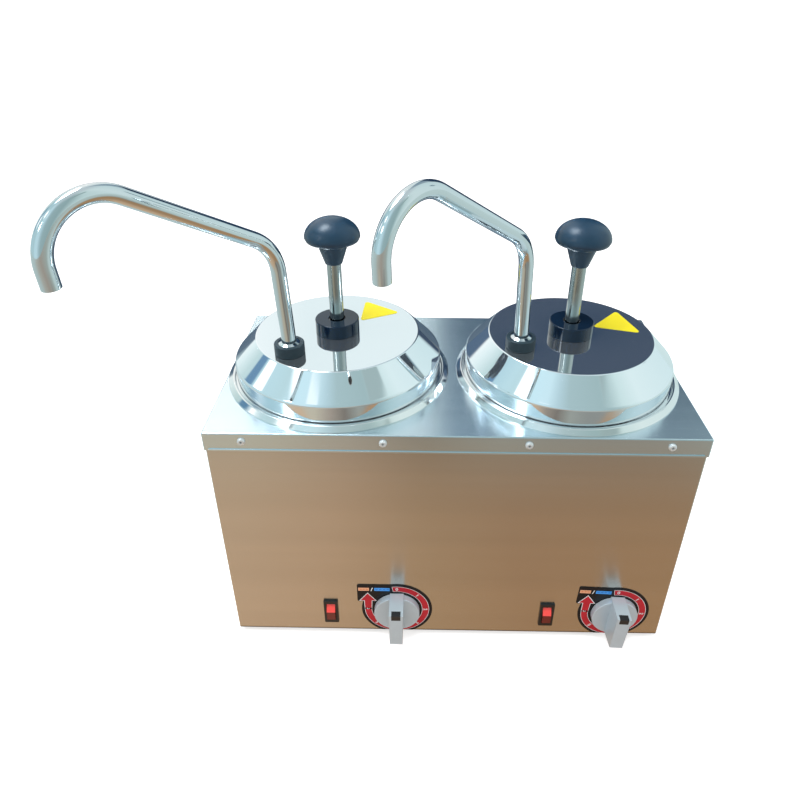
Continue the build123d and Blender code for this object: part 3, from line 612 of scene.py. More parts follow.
def screw_places():
    """Place and outward direction of every screw: the deck's rim, then the rear panel."""
    half = (high("top_deck") - low("top_deck"))[:2] / 2 - HEM_T
    z = DECK_TOP - RIM_DROP
    centre = HOUSING_MIDDLE
    for share in RIM_SHARES:
        for way in (-1, 1):
            yield (centre[0] + share * half[0], centre[1] + way * half[1], z), (0, way, 0)
    for way in (-1, 1):
        for share in END_SHARES:
            yield (centre[0] + way * half[0], centre[1] + share * half[1], z), (way, 0, 0)
    rear_low, rear_high = low("rear_panel"), high("rear_panel")
    heights = [rear_low[2] + height for height in REAR_HEIGHTS] + [rear_high[2] - REAR_TOP_DROP]
    for x in (rear_low[0] + RETURN_MIDDLE, rear_high[0] - RETURN_MIDDLE):
        for height in heights:
            yield (x, rear_high[1], height), (0, 1, 0)


def screw_grid(place, outward):
    """Profile (radius r, height) spun about outward, with the radius r + recess cos(4 angle)."""
    angle = full_turn(SCREW_STEPS)
    radius = SCREW_PROFILE[:, :1] + SCREW_RECESS[:, None] * np.cos(4 * angle)
    out = np.array(outward, float)
    up = np.array([0.0, 0.0, 1.0])
    across = np.cos(angle)[..., None] * np.cross(up, out)
    spread = radius[..., None] * (across + np.sin(angle)[..., None] * up)
    return np.array(place) + spread + SCREW_PROFILE[:, 1:, None] * out


grids = [screw_grid(place, outward) for place, outward in screw_places()]
rows, columns = grids[0].shape[:2]
one = faces_of(rows, columns, False, True)
every = np.concatenate([one + index * rows * columns for index in range(len(grids))])
piece("button_screws", np.concatenate(grids), every, SCREW_STEEL, "housing",
      replaces=["housing_screws"], slot="machined_steel")

# %% [markdown]
# ## Pots
# A pot is spun from sheet: floor, wall, a small step that the lid's edge stands on, and a rounded
# bead that hangs on the deck. The bead is the bright ring round each lid, so it gets the finest
# arcs.

# %% Pots
POT_WALL = 0.8 * MM
POT_R = 97.2 * MM
LIP_R = 103.4 * MM
LIP_FLAT = 2.2 * MM
BEAD_R = 110.2 * MM
BEAD_EDGE = 1.0 * MM
POT_BENDS = MM * np.array([14, 1.0, 1.0, 0.9, 1.5, 0.9])


def pot_grid(side):
    """The pot's inside and top, from the middle of its floor to its sloping bead, with its wall."""
    floor = low("pot_" + side)[2] + POT_WALL
    lip = high("pot_" + side)[2]
    ledge = low("lid_" + side)[2]
    corners = [(0, floor), (POT_R, floor), (POT_R, ledge), (LIP_R, ledge), (LIP_R, lip),
               (LIP_R + LIP_FLAT, lip), (BEAD_R, DECK_TOP + BEAD_EDGE), (BEAD_R, DECK_TOP)]
    return spun(walled(rounded(corners, POT_BENDS), POT_WALL), POT_AXIS[side], FINE_TURN)


pair("pot_shell", pot_grid, POT_STEEL, "pot", "pot", "polished_steel")

# %% [markdown]
# ## Lids
# A lid is a shallow cone with a flat top, polished like a mirror. Its top edge is tight and its
# shoulder is soft. The middle is open for the pump, whose collar covers the hole.

# %% Lids
LID_SHEET = 1.0 * MM
LID_TOP_R = 79.5 * MM
LID_R = 101.4 * MM
SHOULDER = 22.8 * MM
PUMP_HOLE_R = 17.3 * MM
LID_BENDS = MM * np.array([2, 5])
LID_ARC_STEPS = 14


def lid_grid(side):
    """The lid's outside from the pump's hole to its lower edge, with its wall."""
    ledge = low("lid_" + side)[2]
    corners = [(PUMP_HOLE_R, LID_TOP), (LID_TOP_R, LID_TOP),
               (LID_R, LID_TOP - SHOULDER), (LID_R, ledge)]
    profile = walled(rounded(corners, LID_BENDS, LID_ARC_STEPS), LID_SHEET)
    return spun(profile, POT_AXIS[side], FINE_TURN)


pair("lid_shell", lid_grid, LID_STEEL, "lid", "lid", "polished_steel")

# %% [markdown]
# ## Pump collars
# The collar is a thick gloss-black ring that clamps the lid. It is turned, with its edges eased,
# and hides the pump's hole.

# %% Collars
COLLAR_HOLE_R = 8.1 * MM
CYLINDER_R = 17.1 * MM
COLLAR_ROOF = 4.0 * MM
COLLAR_EDGES = MM * np.array([0.2, 0.4, 0.9, 0.5, 0.2])
EDGE_STEPS = 5


def collar_grid(side):
    """Closed outline of the collar: bore, underside, skirt, top and hole."""
    _, top, outer = turned("pump_collar_" + side)
    roof = top - COLLAR_ROOF
    corners = [(CYLINDER_R, roof), (CYLINDER_R, LID_TOP), (outer, LID_TOP), (outer, top),
               (COLLAR_HOLE_R, top), (COLLAR_HOLE_R, roof), (CYLINDER_R, roof)]
    return spun(rounded(corners, COLLAR_EDGES, EDGE_STEPS)[:-1], POT_AXIS[side], PLAIN_TURN)


pair("collar", collar_grid, COLLAR_BLACK, "lid", "pump_collar", "black_gloss")

# %% [markdown]
# ## Palm knobs
# The knob is a mushroom: a domed cap, an undercut band, and a neck that widens upwards from the
# rod. The dome is a quarter of an ellipse, so its height and width can differ.

# %% Palm knobs
KNOB_DOME = 18.0 * MM
KNOB_BAND = 3.0 * MM
KNOB_BAND_R = 24.2 * MM
KNOB_NECK_R = 14.2 * MM
KNOB_FOOT_R = 8.0 * MM
KNOB_NECK_DROP = 6.9 * MM
KNOB_EDGES = MM * np.array([0.6, 3.0, 1.0])
KNOB_ARC_STEPS, DOME_STEPS = 6, 40


def knob_grid(side):
    """From the foot on the rod up the neck and band; then r = R cos t, height = H sin t."""
    bottom, top, cap_r = turned("plunger_knob_" + side)
    crease = top - KNOB_DOME
    corners = [(0, bottom), (KNOB_FOOT_R, bottom), (KNOB_NECK_R, crease - KNOB_NECK_DROP),
               (KNOB_BAND_R, crease - KNOB_BAND), (cap_r, crease)]
    below = rounded(corners, KNOB_EDGES, KNOB_ARC_STEPS)
    t = np.linspace(0, np.pi / 2, DOME_STEPS)[1:]
    dome = np.stack([cap_r * np.cos(t), crease + KNOB_DOME * np.sin(t)], 1)
    return spun(np.concatenate([below, dome]), POT_AXIS[side], PLAIN_TURN)


pair("palm_knob", knob_grid, KNOB_BLACK, "plunger", "plunger_knob", "black_satin", (False, True))

# %% [markdown]
# ## Knurled nuts
# The nut that holds the spout is knurled so that wet fingers can turn it. Two sets of slanting
# grooves cross into diamonds. Height on the surface is the smaller of two waves, one for each
# slant, so only the diamonds stand up, and the pattern fades out at the chamfers.

# %% Knurled nuts
NUT_HOLE_R = 10.2 * MM
KNURL_COUNT = 44
KNURL_DEPTH = 0.45 * MM
KNURL_SLOPE = 1.6
KNURL_ROWS = 40
KNURL_STEPS = 8
KNURL_INSET = (0.9 * MM, 1.2 * MM)
BORE_DROP = 1.0 * MM
FOOT_BEVEL = 0.3 * MM
RIM_DROPS, RIM_BEVELS = MM * np.array([(0.5, 0), (0.2, 0.8)])


def nut_grid(side):
    """Rows up the nut, columns round it; the radius loses depth (1 - the smaller wave) in the band.

    A wave is |sin pi (turn + rise)| or |sin pi (turn - rise)|, both counted in knurls.
    """
    bottom, top, outer = turned("spout_nut_" + side)
    band_rows = np.linspace(bottom + KNURL_INSET[0], top - KNURL_INSET[1], KNURL_ROWS)
    heights = np.concatenate(
        [[top - BORE_DROP, bottom, bottom + FOOT_BEVEL], band_rows, top - RIM_DROPS, [top]])
    radii = np.concatenate([[NUT_HOLE_R, NUT_HOLE_R, outer - FOOT_BEVEL],
                            np.full(KNURL_ROWS, outer), outer - RIM_BEVELS, [NUT_HOLE_R]])
    angle = full_turn(KNURL_COUNT * KNURL_STEPS)
    pitch = 2 * np.pi * outer / KNURL_COUNT
    rise = (heights[:, None] - bottom) / pitch
    turn = KNURL_COUNT * angle / (2 * np.pi)
    waves = np.minimum(*[np.abs(np.sin(np.pi * (turn + way * rise))) for way in (1, -1)])
    in_band = np.isin(heights, band_rows)[:, None]
    radius = radii[:, None] - KNURL_DEPTH * (1 - np.clip(waves * KNURL_SLOPE, 0, 1)) * in_band
    return around(NUT_AXIS[side], radius, heights[:, None], angle)


pair("knurled_nut", nut_grid, NUT_BLACK, "lid", "spout_nut", "machined_steel")

# %% [markdown]
# ## Spouts
# A spout is one tube, bent three times in a flat plane: a slight lean just above the nut, a wide
# bend at the top of the riser and a hook at the end. We draw its middle line as straight runs with
# rounded corners, and carry a circle along it. Going out along the outside and back along the
# inside, with eased edges at both ends, gives a real open tube.

# %% Spouts
SPOUT_R = 6.7 * MM
SPOUT_WALL = 1.0 * MM
SPOUT_ANGLES = np.radians([90.0, 87.0, 30.2, -92.5])
SPOUT_RADII = MM * np.array([250, 42.3, 39.7])
SPOUT_STRAIGHTS = MM * np.array([57, 115.5, 13])
SPOUT_FREE = 1.0 * MM
TUBE_SIDES = 48
BEND_STEPS = 40


def spout_line(side):
    """Middle line in the spout's plane, (outwards, up): straight runs joined by arcs.

    A bend of radius r between two directions takes r tan(half their difference) off each run.
    """
    cuts = SPOUT_RADII * np.tan((SPOUT_ANGLES[:-1] - SPOUT_ANGLES[1:]) / 2)
    nut_top = high("spout_nut_" + side)[2]
    corners = [np.array([0.0, low("spout_tube_" + side)[2]]),
               np.array([0.0, nut_top + SPOUT_FREE + cuts[0]])]
    for length, angle in zip(cuts + SPOUT_STRAIGHTS + np.append(cuts[1:], 0), SPOUT_ANGLES[1:]):
        corners.append(corners[-1] + length * np.array([np.cos(angle), np.sin(angle)]))
    return rounded(corners, SPOUT_RADII, BEND_STEPS)


def tube(line, radii, aim, foot):
    """Circles of the given radii across a flat line, in the upright plane that looks along aim.

    A point is the line's own, plus radius (cos v across the line in its plane + sin v sideways).
    """
    step = unit(np.gradient(line, axis=0))
    aim = np.radians(aim)
    out = np.array([np.cos(aim), np.sin(aim), 0.0])
    up = np.array([0.0, 0.0, 1.0])
    side_way = np.cross(out, up)
    middle_line = line[:, :1] * out + line[:, 1:] * up + np.array([foot[0], foot[1], 0.0])
    normal = -step[:, 1:] * out + step[:, :1] * up
    v = full_turn(TUBE_SIDES)[..., None]
    ring = np.cos(v) * normal[:, None] + np.sin(v) * side_way
    return middle_line[:, None] + np.asarray(radii)[:, None, None] * ring


def spout_grid(side):
    """Outside going out, inside coming back; the ends are eased over a quarter of the wall."""
    line = spout_line(side)
    ease = SPOUT_WALL / 4
    first, last = unit(line[1] - line[0]), unit(line[-1] - line[-2])
    line = np.concatenate([line[:1], [line[0] + ease * first], line[1:-1],
                           [line[-1] - ease * last], line[-1:]])
    outer, inner = np.full(len(line), SPOUT_R), np.full(len(line), SPOUT_R - SPOUT_WALL)
    outer[[0, -1]] -= ease
    inner[[0, -1]] += ease
    aim, foot = SPOUT_AIM[side], NUT_AXIS[side]
    return np.concatenate([tube(line, outer, aim, foot), tube(line, inner, aim, foot)[::-1]])


pair("spout", spout_grid, TUBE_STEEL, "spout", "spout_tube", "polished_steel")

# %% [markdown]
# ## Spout ferrules
# Where the spout leaves the nut, a small bright cone fills the gap and seats the tube. It is turned
# and rides with the spout.

# %% Ferrules
FERRULE_R = 10.0 * MM
FERRULE_H = 5.6 * MM
FERRULE_RIM = 4.0 * MM
FERRULE_SEAT = 4.5 * MM
FERRULE_BORE = SPOUT_R - 0.4 * MM
FERRULE_NECK = SPOUT_R + 0.05 * MM
FERRULE_EDGES = MM * np.array([0.2, 0.6, 0.1, 0])

for side in SIDES:
    seat = high("spout_nut_" + side)[2] - FERRULE_SEAT
    corners = [(FERRULE_BORE, seat), (FERRULE_R, seat), (FERRULE_R, seat + FERRULE_RIM),
               (FERRULE_NECK, seat + FERRULE_H), (FERRULE_BORE, seat + FERRULE_H),
               (FERRULE_BORE, seat)]
    grid = spun(rounded(corners, FERRULE_EDGES, EDGE_STEPS)[:-1], NUT_AXIS[side], SMALL_TURN)
    grid_piece("ferrule_" + side, grid, (True, True), TUBE_STEEL, "spout_" + side,
               slot="polished_steel")

# %% [markdown]
# ## Dial print
# The dial plates are black with a red band, numbers, an arrow and two coloured bars. Print has no
# thickness to speak of, so each layer is a flat shape a few hundredths of a millimetre above the
# last: white first for the outlines, then red, then the numbers. The bars carry plain dashes.

# %% Flat shapes on the dials
PRINT_STEP = 0.03 * MM
BAND_IN, BAND_OUT = 26.7 * MM, 33.2 * MM
BAND_EDGE = 0.45 * MM
BAND_START, BAND_END, BAND_LEAD = -8.0, 272.0, 0.8
NUMBER_R = 29.8 * MM
NUMBER_SIZE = 5.4 * MM
NUMBER_WEIGHT = 0.16 * MM
NUMBER_STEP = 45.0
NUMBER_LAYER = 3
BAND_STEPS = 90
PLATE_TURN = {"left": 0.0, "right": np.radians(2.5)}


def clockwise(flat, turn):
    """Flat (right, up) points turned clockwise: (x cos t + z sin t, z cos t - x sin t)."""
    x, z = flat[..., 0], flat[..., 1]
    return x * np.cos(turn) + z * np.sin(turn), z * np.cos(turn) - x * np.sin(turn)


def on_dial(flat, side, layer):
    """Flat points turned with the plate and set on it, raised by a number of print layers."""
    centre, face = middle("spindle_" + side), low("dial_plate_" + side)[1]
    x, z = clockwise(flat, PLATE_TURN[side])
    y = np.full(x.shape, face - layer * PRINT_STEP)
    return np.stack([centre[0] + x, y, centre[2] + z], -1)


def face_front(obj):
    """Turn a flat piece's faces to look towards -Y."""
    mesh = obj.data
    if sum(p.normal.y * p.area for p in mesh.polygons) > 0:
        mesh.flip_normals()


def print_piece(name, points, faces, side, material):
    """A flat piece of print that faces forwards and rides on the housing."""
    face_front(piece(name + "_" + side, points, faces, material, "housing", outward=False))


def band(name, side, grow, layer, material):
    """Part of a ring: u is the angle clockwise from the top, v the radius from in to out."""
    start = BAND_START - BAND_LEAD * (grow > 0)
    u = np.radians(np.linspace(start, BAND_END, BAND_STEPS))[:, None]
    v = np.linspace(BAND_IN - grow, BAND_OUT + grow, 4)[None]
    flat = np.stack([v * np.sin(u), v * np.cos(u)], -1)
    faces = faces_of(*flat.shape[:2], False, False)
    print_piece(name, on_dial(flat, side, layer), faces, side, material)


def outline_piece(name, corners, side, layer, material):
    """One flat face through corners given in millimetres from the dial's middle."""
    points = on_dial(np.asarray(corners, float) * MM, side, layer)
    print_piece(name, points, [range(len(corners))], side, material)


def bar(name, x0, x1, z0, z1, side, layer, material, lean=0.0):
    """A flat bar, leaning to the right by lean at its top."""
    corners = [(x0, z0), (x1, z0), (x1 + lean, z1), (x0 + lean, z1)]
    outline_piece(name, corners, side, layer, material)


def digit(text, angle, side):
    """A number on the band, turned with it, made a mesh and put in its place."""
    curve = bpy.data.curves.new("digit", "FONT")
    curve.body, curve.size, curve.offset = text, NUMBER_SIZE, NUMBER_WEIGHT
    source = placed("digit_source", curve)
    bpy.context.view_layer.update()
    mesh = bpy.data.meshes.new_from_object(source)
    flat = np.empty(len(mesh.vertices) * 3)
    mesh.vertices.foreach_get("co", flat)
    flat = flat.reshape(-1, 3)[:, :2]
    flat -= (flat.min(0) + flat.max(0)) / 2
    turned_flat = np.stack(clockwise(flat + (0, NUMBER_R), np.radians(angle)), -1)
    points = on_dial(turned_flat, side, NUMBER_LAYER)
    mesh.vertices.foreach_set("co", points.astype(np.float32).ravel())
    mesh.update()
    mesh.materials.clear()
    mesh.materials.append(PRINT_WHITE)
    bpy.data.objects.remove(source)
    obj = placed("dial_number_" + text + "_" + side, mesh)
    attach(obj, "housing")
    face_front(obj)


# %% The print itself
ARROW = [(-33.2, -1.0), (-26.7, -1.0), (-26.2, 12.5), (-22.3, 12.5), (-30.2, 23.0), (-38.0, 12.5),
         (-33.6, 12.5)]
ARROW_EDGE = [(-33.8, -1.0), (-26.2, -1.0), (-25.6, 11.9), (-20.9, 11.9), (-30.2, 24.2),
              (-39.4, 11.9), (-34.2, 11.9)]
BAR_Z = (27.0, 31.4)
DASH_Z = (28.6, 29.8)
DASHES = {
    "orange": (2.2, (-38.4, -35.2, -32.0), PRINT_RUST),
    "blue": (2.4, (-22.0, -18.2, -14.4, -10.6), PRINT_NAVY),
}

for side in SIDES:
    band("band_edge", side, BAND_EDGE, 1, PRINT_WHITE)
    outline_piece("arrow_edge", ARROW_EDGE, side, 1, PRINT_WHITE)
    band("band_red", side, 0.0, 2, PRINT_RED)
    outline_piece("arrow_red", ARROW, side, 2, PRINT_RED)
    for number in range(7):
        digit(str(number), NUMBER_STEP * number, side)
    bar("bar_orange", -39.7, -28.6, *BAR_Z, side, 1, PRINT_ORANGE)
    bar("bar_blue", -23.3, -7.4, *BAR_Z, side, 1, PRINT_BLUE)
    bar("slash", -27.2, -26.2, 26.6, 31.6, side, 1, PRINT_WHITE, 1.6)
    for colour, (length, starts, material) in DASHES.items():
        for index, start in enumerate(starts):
            bar(f"dash_{colour}_{index}", start, start + length, *DASH_Z, side, 2, material)

# %% [markdown]
# ## Yellow plates on the lids
# A small triangular plate with rounded corners lies on each lid, behind the pump. It stays plain.
# Its outline is a triangle, given in millimetres from the pump, whose corners are arcs, and it is
# thickened downwards to the lid.

# %% Plates
PLATE_T = 0.25 * MM
PLATE_GAP = 0.01 * MM
PLATE_CORNERS = {
    "left": [(22.4, 64.9), (59.5, 39.1), (20.6, 19.8)],
    "right": [(56.5, 47.9), (69.4, 0.5), (24.8, 12.5)],
}
PLATE_CORNER_R = 2.6 * MM
PLATE_ARC_STEPS = 6


def rounded_loop(corners, radius):
    """A closed outline with every corner rounded; it starts in the middle of a side."""
    corners = np.asarray(corners, float)
    start = (corners[-1] + corners[0]) / 2
    path = np.concatenate([[start], corners, [start]])
    return rounded(path, [radius] * len(corners), PLATE_ARC_STEPS)[:-1]


def slab(name, loops, material, body):
    """A closed slab between two outlines that have the same number of points."""
    count = len(loops[0])
    faces = faces_of(2, count, False, True).tolist() + [range(count), range(count, 2 * count)]
    piece(name, np.stack(loops), faces, material, body)


for side in SIDES:
    outline = rounded_loop(np.array(PLATE_CORNERS[side]) * MM + POT_AXIS[side][:2], PLATE_CORNER_R)
    loops = [np.column_stack([outline, np.full(len(outline), LID_TOP + rise)])
             for rise in (PLATE_GAP, PLATE_T)]
    slab("yellow_plate_" + side, loops, PLATE_YELLOW, "lid_" + side)

# %% [markdown]
# ## Rocker marks
# Each rocker has a short white line moulded into its lower half, the end that is pushed to switch
# off. We find the facet by looking at the rocker's own faces, and lay the line on it, so its tilt
# is right.

# %% Rocker marks
MARK_LENGTH = 4.6 * MM
MARK_WIDTH = 0.9 * MM
MARK_SUNK, MARK_PROUD = 0.05 * MM, 0.06 * MM


def mark_on_rocker(side):
    """A thin slab across the middle of the rocker's facets that look forwards and down."""
    node = NODES["rocker_" + side]
    faces = [p for p in node.data.polygons if p.normal.y < -0.5 and p.normal.z < -0.05]
    area = np.array([p.area for p in faces])
    centre = area @ np.array([p.center for p in faces]) / area.sum()
    normal = unit(area @ np.array([p.normal for p in faces]))
    down = np.cross(normal, (1.0, 0.0, 0.0))
    flat = np.array([(-1, -1), (1, -1), (1, 1), (-1, 1)]) * (MARK_LENGTH / 2, MARK_WIDTH / 2)
    corners = centre + flat[:, :1] * np.array([1.0, 0, 0]) + flat[:, 1:] * down
    loops = [corners - MARK_SUNK * normal, corners + MARK_PROUD * normal]
    slab("rocker_mark_" + side, loops, PRINT_WHITE, "rocker_" + side)


for side in SIDES:
    mark_on_rocker(side)

# %% [markdown]
# ## Floor
# The warmer stands on a pale floor that ends in white. The floor is matt and takes the object's
# soft shadow. It also glows a little where the camera or a reflection sees it, so that it reads as
# white.

# %% Floor and its finish
WHITE = (1.0, 1.0, 1.0)
FLOOR_HALF = 40.0
FLOOR_GLOW = 0.62


def stage_mesh(name, points, faces, material):
    """A mesh of the setting, which is no part of the object."""
    obj = placed(name, mesh_from(name, points, faces, material))
    print(name, len(obj.data.polygons), "faces")
    return obj


def floor_material():
    """Pale floor: a matt white that glows a little for the camera and in reflections."""
    finish = Finish("pale_floor", (0.86, 0.86, 0.86), 0.9)
    glow = finish.math("MULTIPLY", camera_or_reflection(finish.tree), FLOOR_GLOW)
    finish.set("Emission Color", (*WHITE, 1.0))
    finish.set("Emission Strength", glow)
    finish.material.cycles.emission_sampling = "NONE"
    return finish.material


corners = FLOOR_HALF * np.array([(-1, -1, 0), (1, -1, 0), (1, 1, 0), (-1, 1, 0)])
stage_mesh("floor", corners, [(0, 1, 2, 3)], floor_material())

# %% [markdown]
# ## World
# The world gives even light from all sides, so that no shadow is black. On surfaces it is dim
# enough for a colour to look about as it is written. Where the camera or a reflection looks past
# everything it is plain white, which ends the floor without a horizon.

# %% World
AMBIENT = 0.48

world = bpy.data.worlds.new("studio")
bpy.context.scene.world = world
world.use_nodes = True
sky = world.node_tree
sky.nodes.clear()
ambient, backdrop = [
    add_node(sky, "ShaderNodeBackground", {"Color": (*WHITE, 1.0), "Strength": strength}).outputs[0]
    for strength in (AMBIENT, 1.0)]
seen = camera_or_reflection(sky)
mixed = add_node(sky, "ShaderNodeMixShader", {0: seen, 1: ambient, 2: backdrop}).outputs[0]
add_node(sky, "ShaderNodeOutputWorld", {0: mixed})
print("world light", AMBIENT, "on surfaces")

# %% [markdown]
# ## Lamps
# A large lamp overhead shapes the knobs and dials and gives the soft shadow. A weaker one in front,
# on the right, opens the shadow up. Reflections don't see either, because the room below has its
# own lights.

# %% Lamps
LAMPS = {
    "key": ((-0.5, -0.35, 2.5), 1.5, 58),
    "fill": ((1.2, -1.4, 1.8), 1.2, 8),
}
LAMP_TARGET = Vector((0, 0, 0.2))

for name, (place, size, power) in LAMPS.items():
    light = bpy.data.lights.new(name, "AREA")
    light.size, light.energy = size, power
    obj = placed(name, light)
    obj.location = place
    obj.rotation_euler = (LAMP_TARGET - Vector(place)).to_track_quat("-Z", "Y").to_euler()
    obj.visible_glossy = False
    print(name, "lamp", power, "W,", size, "m wide")

# %% [markdown]
# ## A room for the reflections
# Polished steel has hardly a look of its own: it shows the room. So we build the room's light as a
# large dome that only reflections see. Its colour is worked out for each direction: a base colour
# runs round the compass through a few stops, and soft-edged patches stand for windows, a doorway
# and a ceiling lamp. Azimuth counts from behind the object, clockwise seen from above.

# %% Room colours
ROOM_STOPS = [
    (-180, (0.40, 0.56, 0.58)), (-165, (0.50, 0.70, 0.76)), (-150, (0.66, 0.90, 0.97)),
    (-130, (0.66, 0.92, 1.00)), (-112, (0.54, 0.76, 0.80)), (-95, (0.56, 0.80, 0.86)),
    (-80, (0.50, 0.74, 0.82)), (-66, (0.60, 0.78, 0.78)), (-52, (0.84, 0.98, 0.98)),
    (-28, (1.15, 1.16, 1.14)), (-12, (0.87, 0.97, 0.97)), (0.5, (0.87, 0.97, 0.97)),
    (2.5, (0.24, 0.36, 0.46)), (34, (0.38, 0.48, 0.53)), (38, (0.68, 0.86, 0.88)),
    (100, (0.80, 0.95, 0.95)), (118, (0.66, 0.84, 0.83)), (130, (0.46, 0.62, 0.62)),
    (140, (0.36, 0.51, 0.52)), (180, (0.40, 0.56, 0.58)),
]
OVERHEAD, OVERHEAD_FROM, OVERHEAD_FADE = (0.66, 0.76, 0.79), 58, 20
# Azimuth, elevation, half width, half height and soft edge in degrees, then the colour.
ROOM_PATCHES = {
    "low_shade": (-20, 0, 24, 14, 3, (0.06, 0.12, 0.21)),
    "doorway": (18.0, 14, 16.0, 23, 3, (0.018, 0.045, 0.095)),
    "window_frame": (-75, 25, 4.5, 13, 2, (0.12, 0.27, 0.44)),
    "window_low": (-87, 28, 5, 6, 2, (1.7, 1.7, 1.7)),
    "window_high": (-116, 49, 8, 4, 4, (2.2, 2.2, 2.2)),
    "window_side": (-148, 50, 7, 3, 4, (1.0, 1.15, 1.2)),
    "front_shade": (125, 52, 12, 4, 3, (0.36, 0.48, 0.48)),
    "door_handle": (71, 28, 3, 4, 2, (0.14, 0.24, 0.30)),
    "window_stripe": (-126, 35.5, 3.5, 4.5, 1.5, (9.0, 9.6, 10.0)),
    "ceiling_lamp": (-62, 68, 30, 9, 8, (12.0, 13.5, 14.5)),
}


def through_stops(angle, stops):
    """Straight-line blend of the stops' colours at each angle."""
    at, colours = zip(*stops)
    return np.stack([np.interp(angle, at, channel) for channel in zip(*colours)], -1)


def soft(offset, half, edge):
    """One inside the half width, nought outside; over the edge 3 t^2 - 2 t^3, an S shape."""
    t = np.clip((half - np.abs(offset)) / edge + 0.5, 0, 1)
    return t * t * (3 - 2 * t)


def over(base, colour, weight):
    """A colour laid over a base: base (1 - weight) + colour weight."""
    weight = weight[..., None]
    return base * (1 - weight) + np.array(colour) * weight


def room_colour(azimuth, elevation):
    """Base colour by azimuth, evened out overhead, with each patch blended over it."""
    overhead = np.clip((elevation - OVERHEAD_FROM) / OVERHEAD_FADE, 0, 1)
    colour = over(through_stops(azimuth, ROOM_STOPS), OVERHEAD, overhead)
    for across, up, half_across, half_up, edge, patch in ROOM_PATCHES.values():
        turn = (azimuth - across + 180) % 360 - 180
        weight = soft(turn, half_across, edge) * soft(elevation - up, half_up, edge)
        colour = over(colour, patch, weight)
    return colour


def glowing_mesh(name, points, close, colour):
    """A stage mesh that shows its own point colours to reflections only."""
    rows, columns = points.shape[:2]
    finish = Finish(name, (0.0, 0.0, 0.0), 1.0)
    shown = finish.node("ShaderNodeVertexColor", layer_name="glow")
    finish.set("Emission Color", shown.outputs[0])
    finish.set("Emission Strength", 1.0)
    finish.material.cycles.emission_sampling = "NONE"
    obj = stage_mesh(name, points, faces_of(rows, columns, *close), finish.material)
    layer = obj.data.color_attributes.new("glow", "FLOAT_COLOR", "POINT")
    opaque = np.concatenate([colour, np.ones((rows, columns, 1))], -1)
    layer.data.foreach_set("color", opaque.ravel())
    obj.visible_camera = obj.visible_diffuse = obj.visible_shadow = False


# %% Room dome
ROOM_R = 6.0

azimuth = np.linspace(-180, 180, 361)[:-1][:, None]
elevation = np.linspace(0, 90, 91)[None]
a, e = np.radians(azimuth), np.radians(elevation)
dome = ROOM_R * np.stack([np.sin(a) * np.cos(e), np.cos(a) * np.cos(e), np.sin(e) + 0 * a], -1)
every_way = np.broadcast_arrays(azimuth, elevation)
glowing_mesh("room_dome", dome, (True, False), room_colour(*every_way))

# %% [markdown]
# ## A counter for the reflections
# The brushed front looks down on whatever the warmer stands on, so a warm wooden counter lies over
# the floor for reflections alone. Beyond its front edge the room's floor is darker and greyer.

# %% Counter
COUNTER_H = 1 * MM
COUNTER_STOPS = [
    (-180, (0.42, 0.36, 0.30)), (-140, (0.50, 0.50, 0.44)), (-120, (0.52, 0.62, 0.60)),
    (-60, (0.60, 0.74, 0.74)), (-47, (0.52, 0.66, 0.68)), (-42, (0.06, 0.11, 0.17)),
    (27, (0.05, 0.09, 0.14)), (31, (0.34, 0.33, 0.28)), (37, (0.64, 0.80, 0.80)),
    (110, (0.60, 0.74, 0.72)), (130, (0.42, 0.48, 0.44)), (180, (0.42, 0.36, 0.30)),
]
WOOD_STOPS = [
    (-0.26, (0.60, 0.43, 0.28)), (-0.12, (0.56, 0.38, 0.235)), (0.0, (0.45, 0.295, 0.165)),
    (0.12, (0.40, 0.24, 0.125)), (0.26, (0.40, 0.24, 0.12)),
]
BEYOND_STOPS = [
    (-0.26, (0.56, 0.50, 0.38)), (-0.12, (0.36, 0.30, 0.24)), (0.0, (0.19, 0.16, 0.13)),
    (0.12, (0.32, 0.34, 0.30)), (0.26, (0.26, 0.27, 0.25)),
]
COUNTER_EDGE, EDGE_FADE = -0.412, 0.03
# Across and away from the warmer: middle, half width and fade.
COUNTER_X, COUNTER_Y = (0.0, 0.50, 0.3), (-0.5, 0.46, 0.1)
BRIGHTER, BRIGHTER_TO = 0.5, 0.38


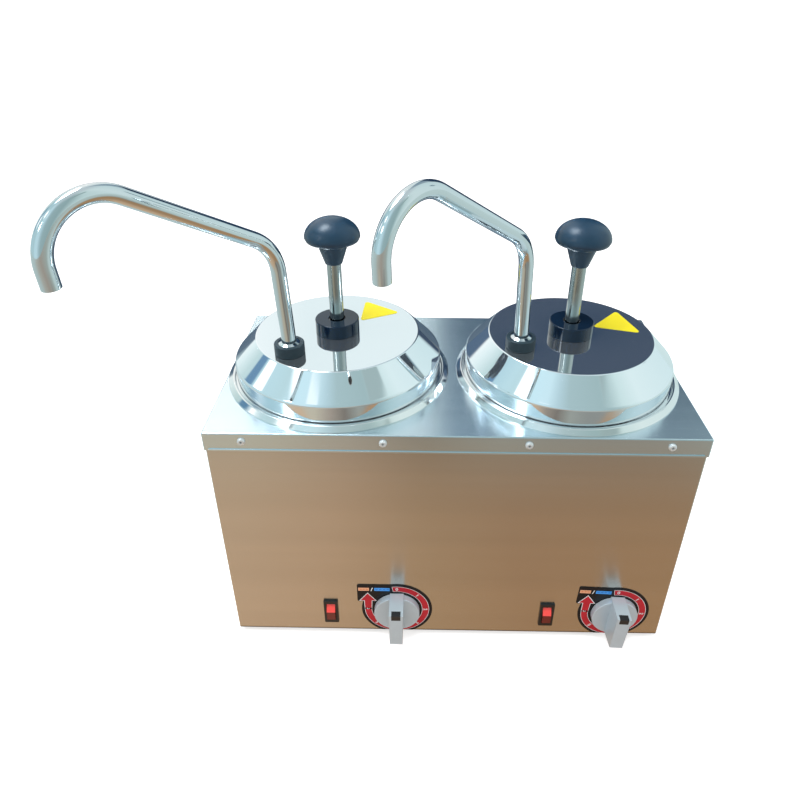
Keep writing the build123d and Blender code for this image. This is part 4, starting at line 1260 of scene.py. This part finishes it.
def counter_colour(x, y):
    """Room floor by azimuth; in front of the warmer the wood, and a darker floor past its edge."""
    colour = through_stops(np.degrees(np.arctan2(x, y)), COUNTER_STOPS)
    nearness = 1 + BRIGHTER * np.clip(y - COUNTER_Y[0], 0, BRIGHTER_TO)
    wood = through_stops(x, WOOD_STOPS) * nearness[..., None]
    edge = np.clip((COUNTER_EDGE - y) / EDGE_FADE + 0.5, 0, 1)
    near = over(wood, through_stops(x, BEYOND_STOPS), edge)
    x_share = soft(x - COUNTER_X[0], *COUNTER_X[1:])
    y_share = soft(y - COUNTER_Y[0], *COUNTER_Y[1:])
    return over(colour, near, x_share * y_share * (y < 0))


turn = np.radians(np.linspace(-180, 180, 181)[:-1])[:, None]
reach = (ROOM_R * np.linspace(0.1, 1, 150) ** 2)[None]
flat_x, flat_y = reach * np.sin(turn), reach * np.cos(turn)
counter = np.stack([flat_x, flat_y, np.full(flat_x.shape, COUNTER_H)], -1)
glowing_mesh("room_counter", counter, (True, False), counter_colour(flat_x, flat_y))

# %% [markdown]
# ## Camera
# The camera looks down on the warmer's front from close by, so the housing narrows towards its
# foot. Unturned, a camera looks straight down with +Y up. So we roll it about its own axis, raise
# it about X until it looks down by the pitch only, and then turn it by the yaw. The colours are
# shown as they are, without a film look.

# %% Camera
SENSOR, LENS = 36.0, 30.063
SHIFT = (-0.01776, -0.04614)
SEES_FROM, SEES_TO = 0.01, 60.0
CAMERA_PLACE = (-0.0043, -0.5532, 0.6223)
YAW, PITCH, ROLL = np.radians([-0.6961, 30.822, 0.3474])

camera_data = bpy.data.cameras.new("camera")
camera_data.sensor_width, camera_data.lens = SENSOR, LENS
camera_data.shift_x, camera_data.shift_y = SHIFT
camera_data.clip_start, camera_data.clip_end = SEES_FROM, SEES_TO
camera = placed("camera", camera_data)
bpy.context.scene.camera = camera
stand = Matrix.Translation(CAMERA_PLACE)
for angle, axis in ((-YAW, "Z"), (np.pi / 2 - PITCH, "X"), (ROLL, "Z")):
    stand = stand @ Matrix.Rotation(angle, 4, axis)
camera.matrix_world = stand
bpy.context.scene.view_settings.view_transform = "Standard"
print("camera at", CAMERA_PLACE)
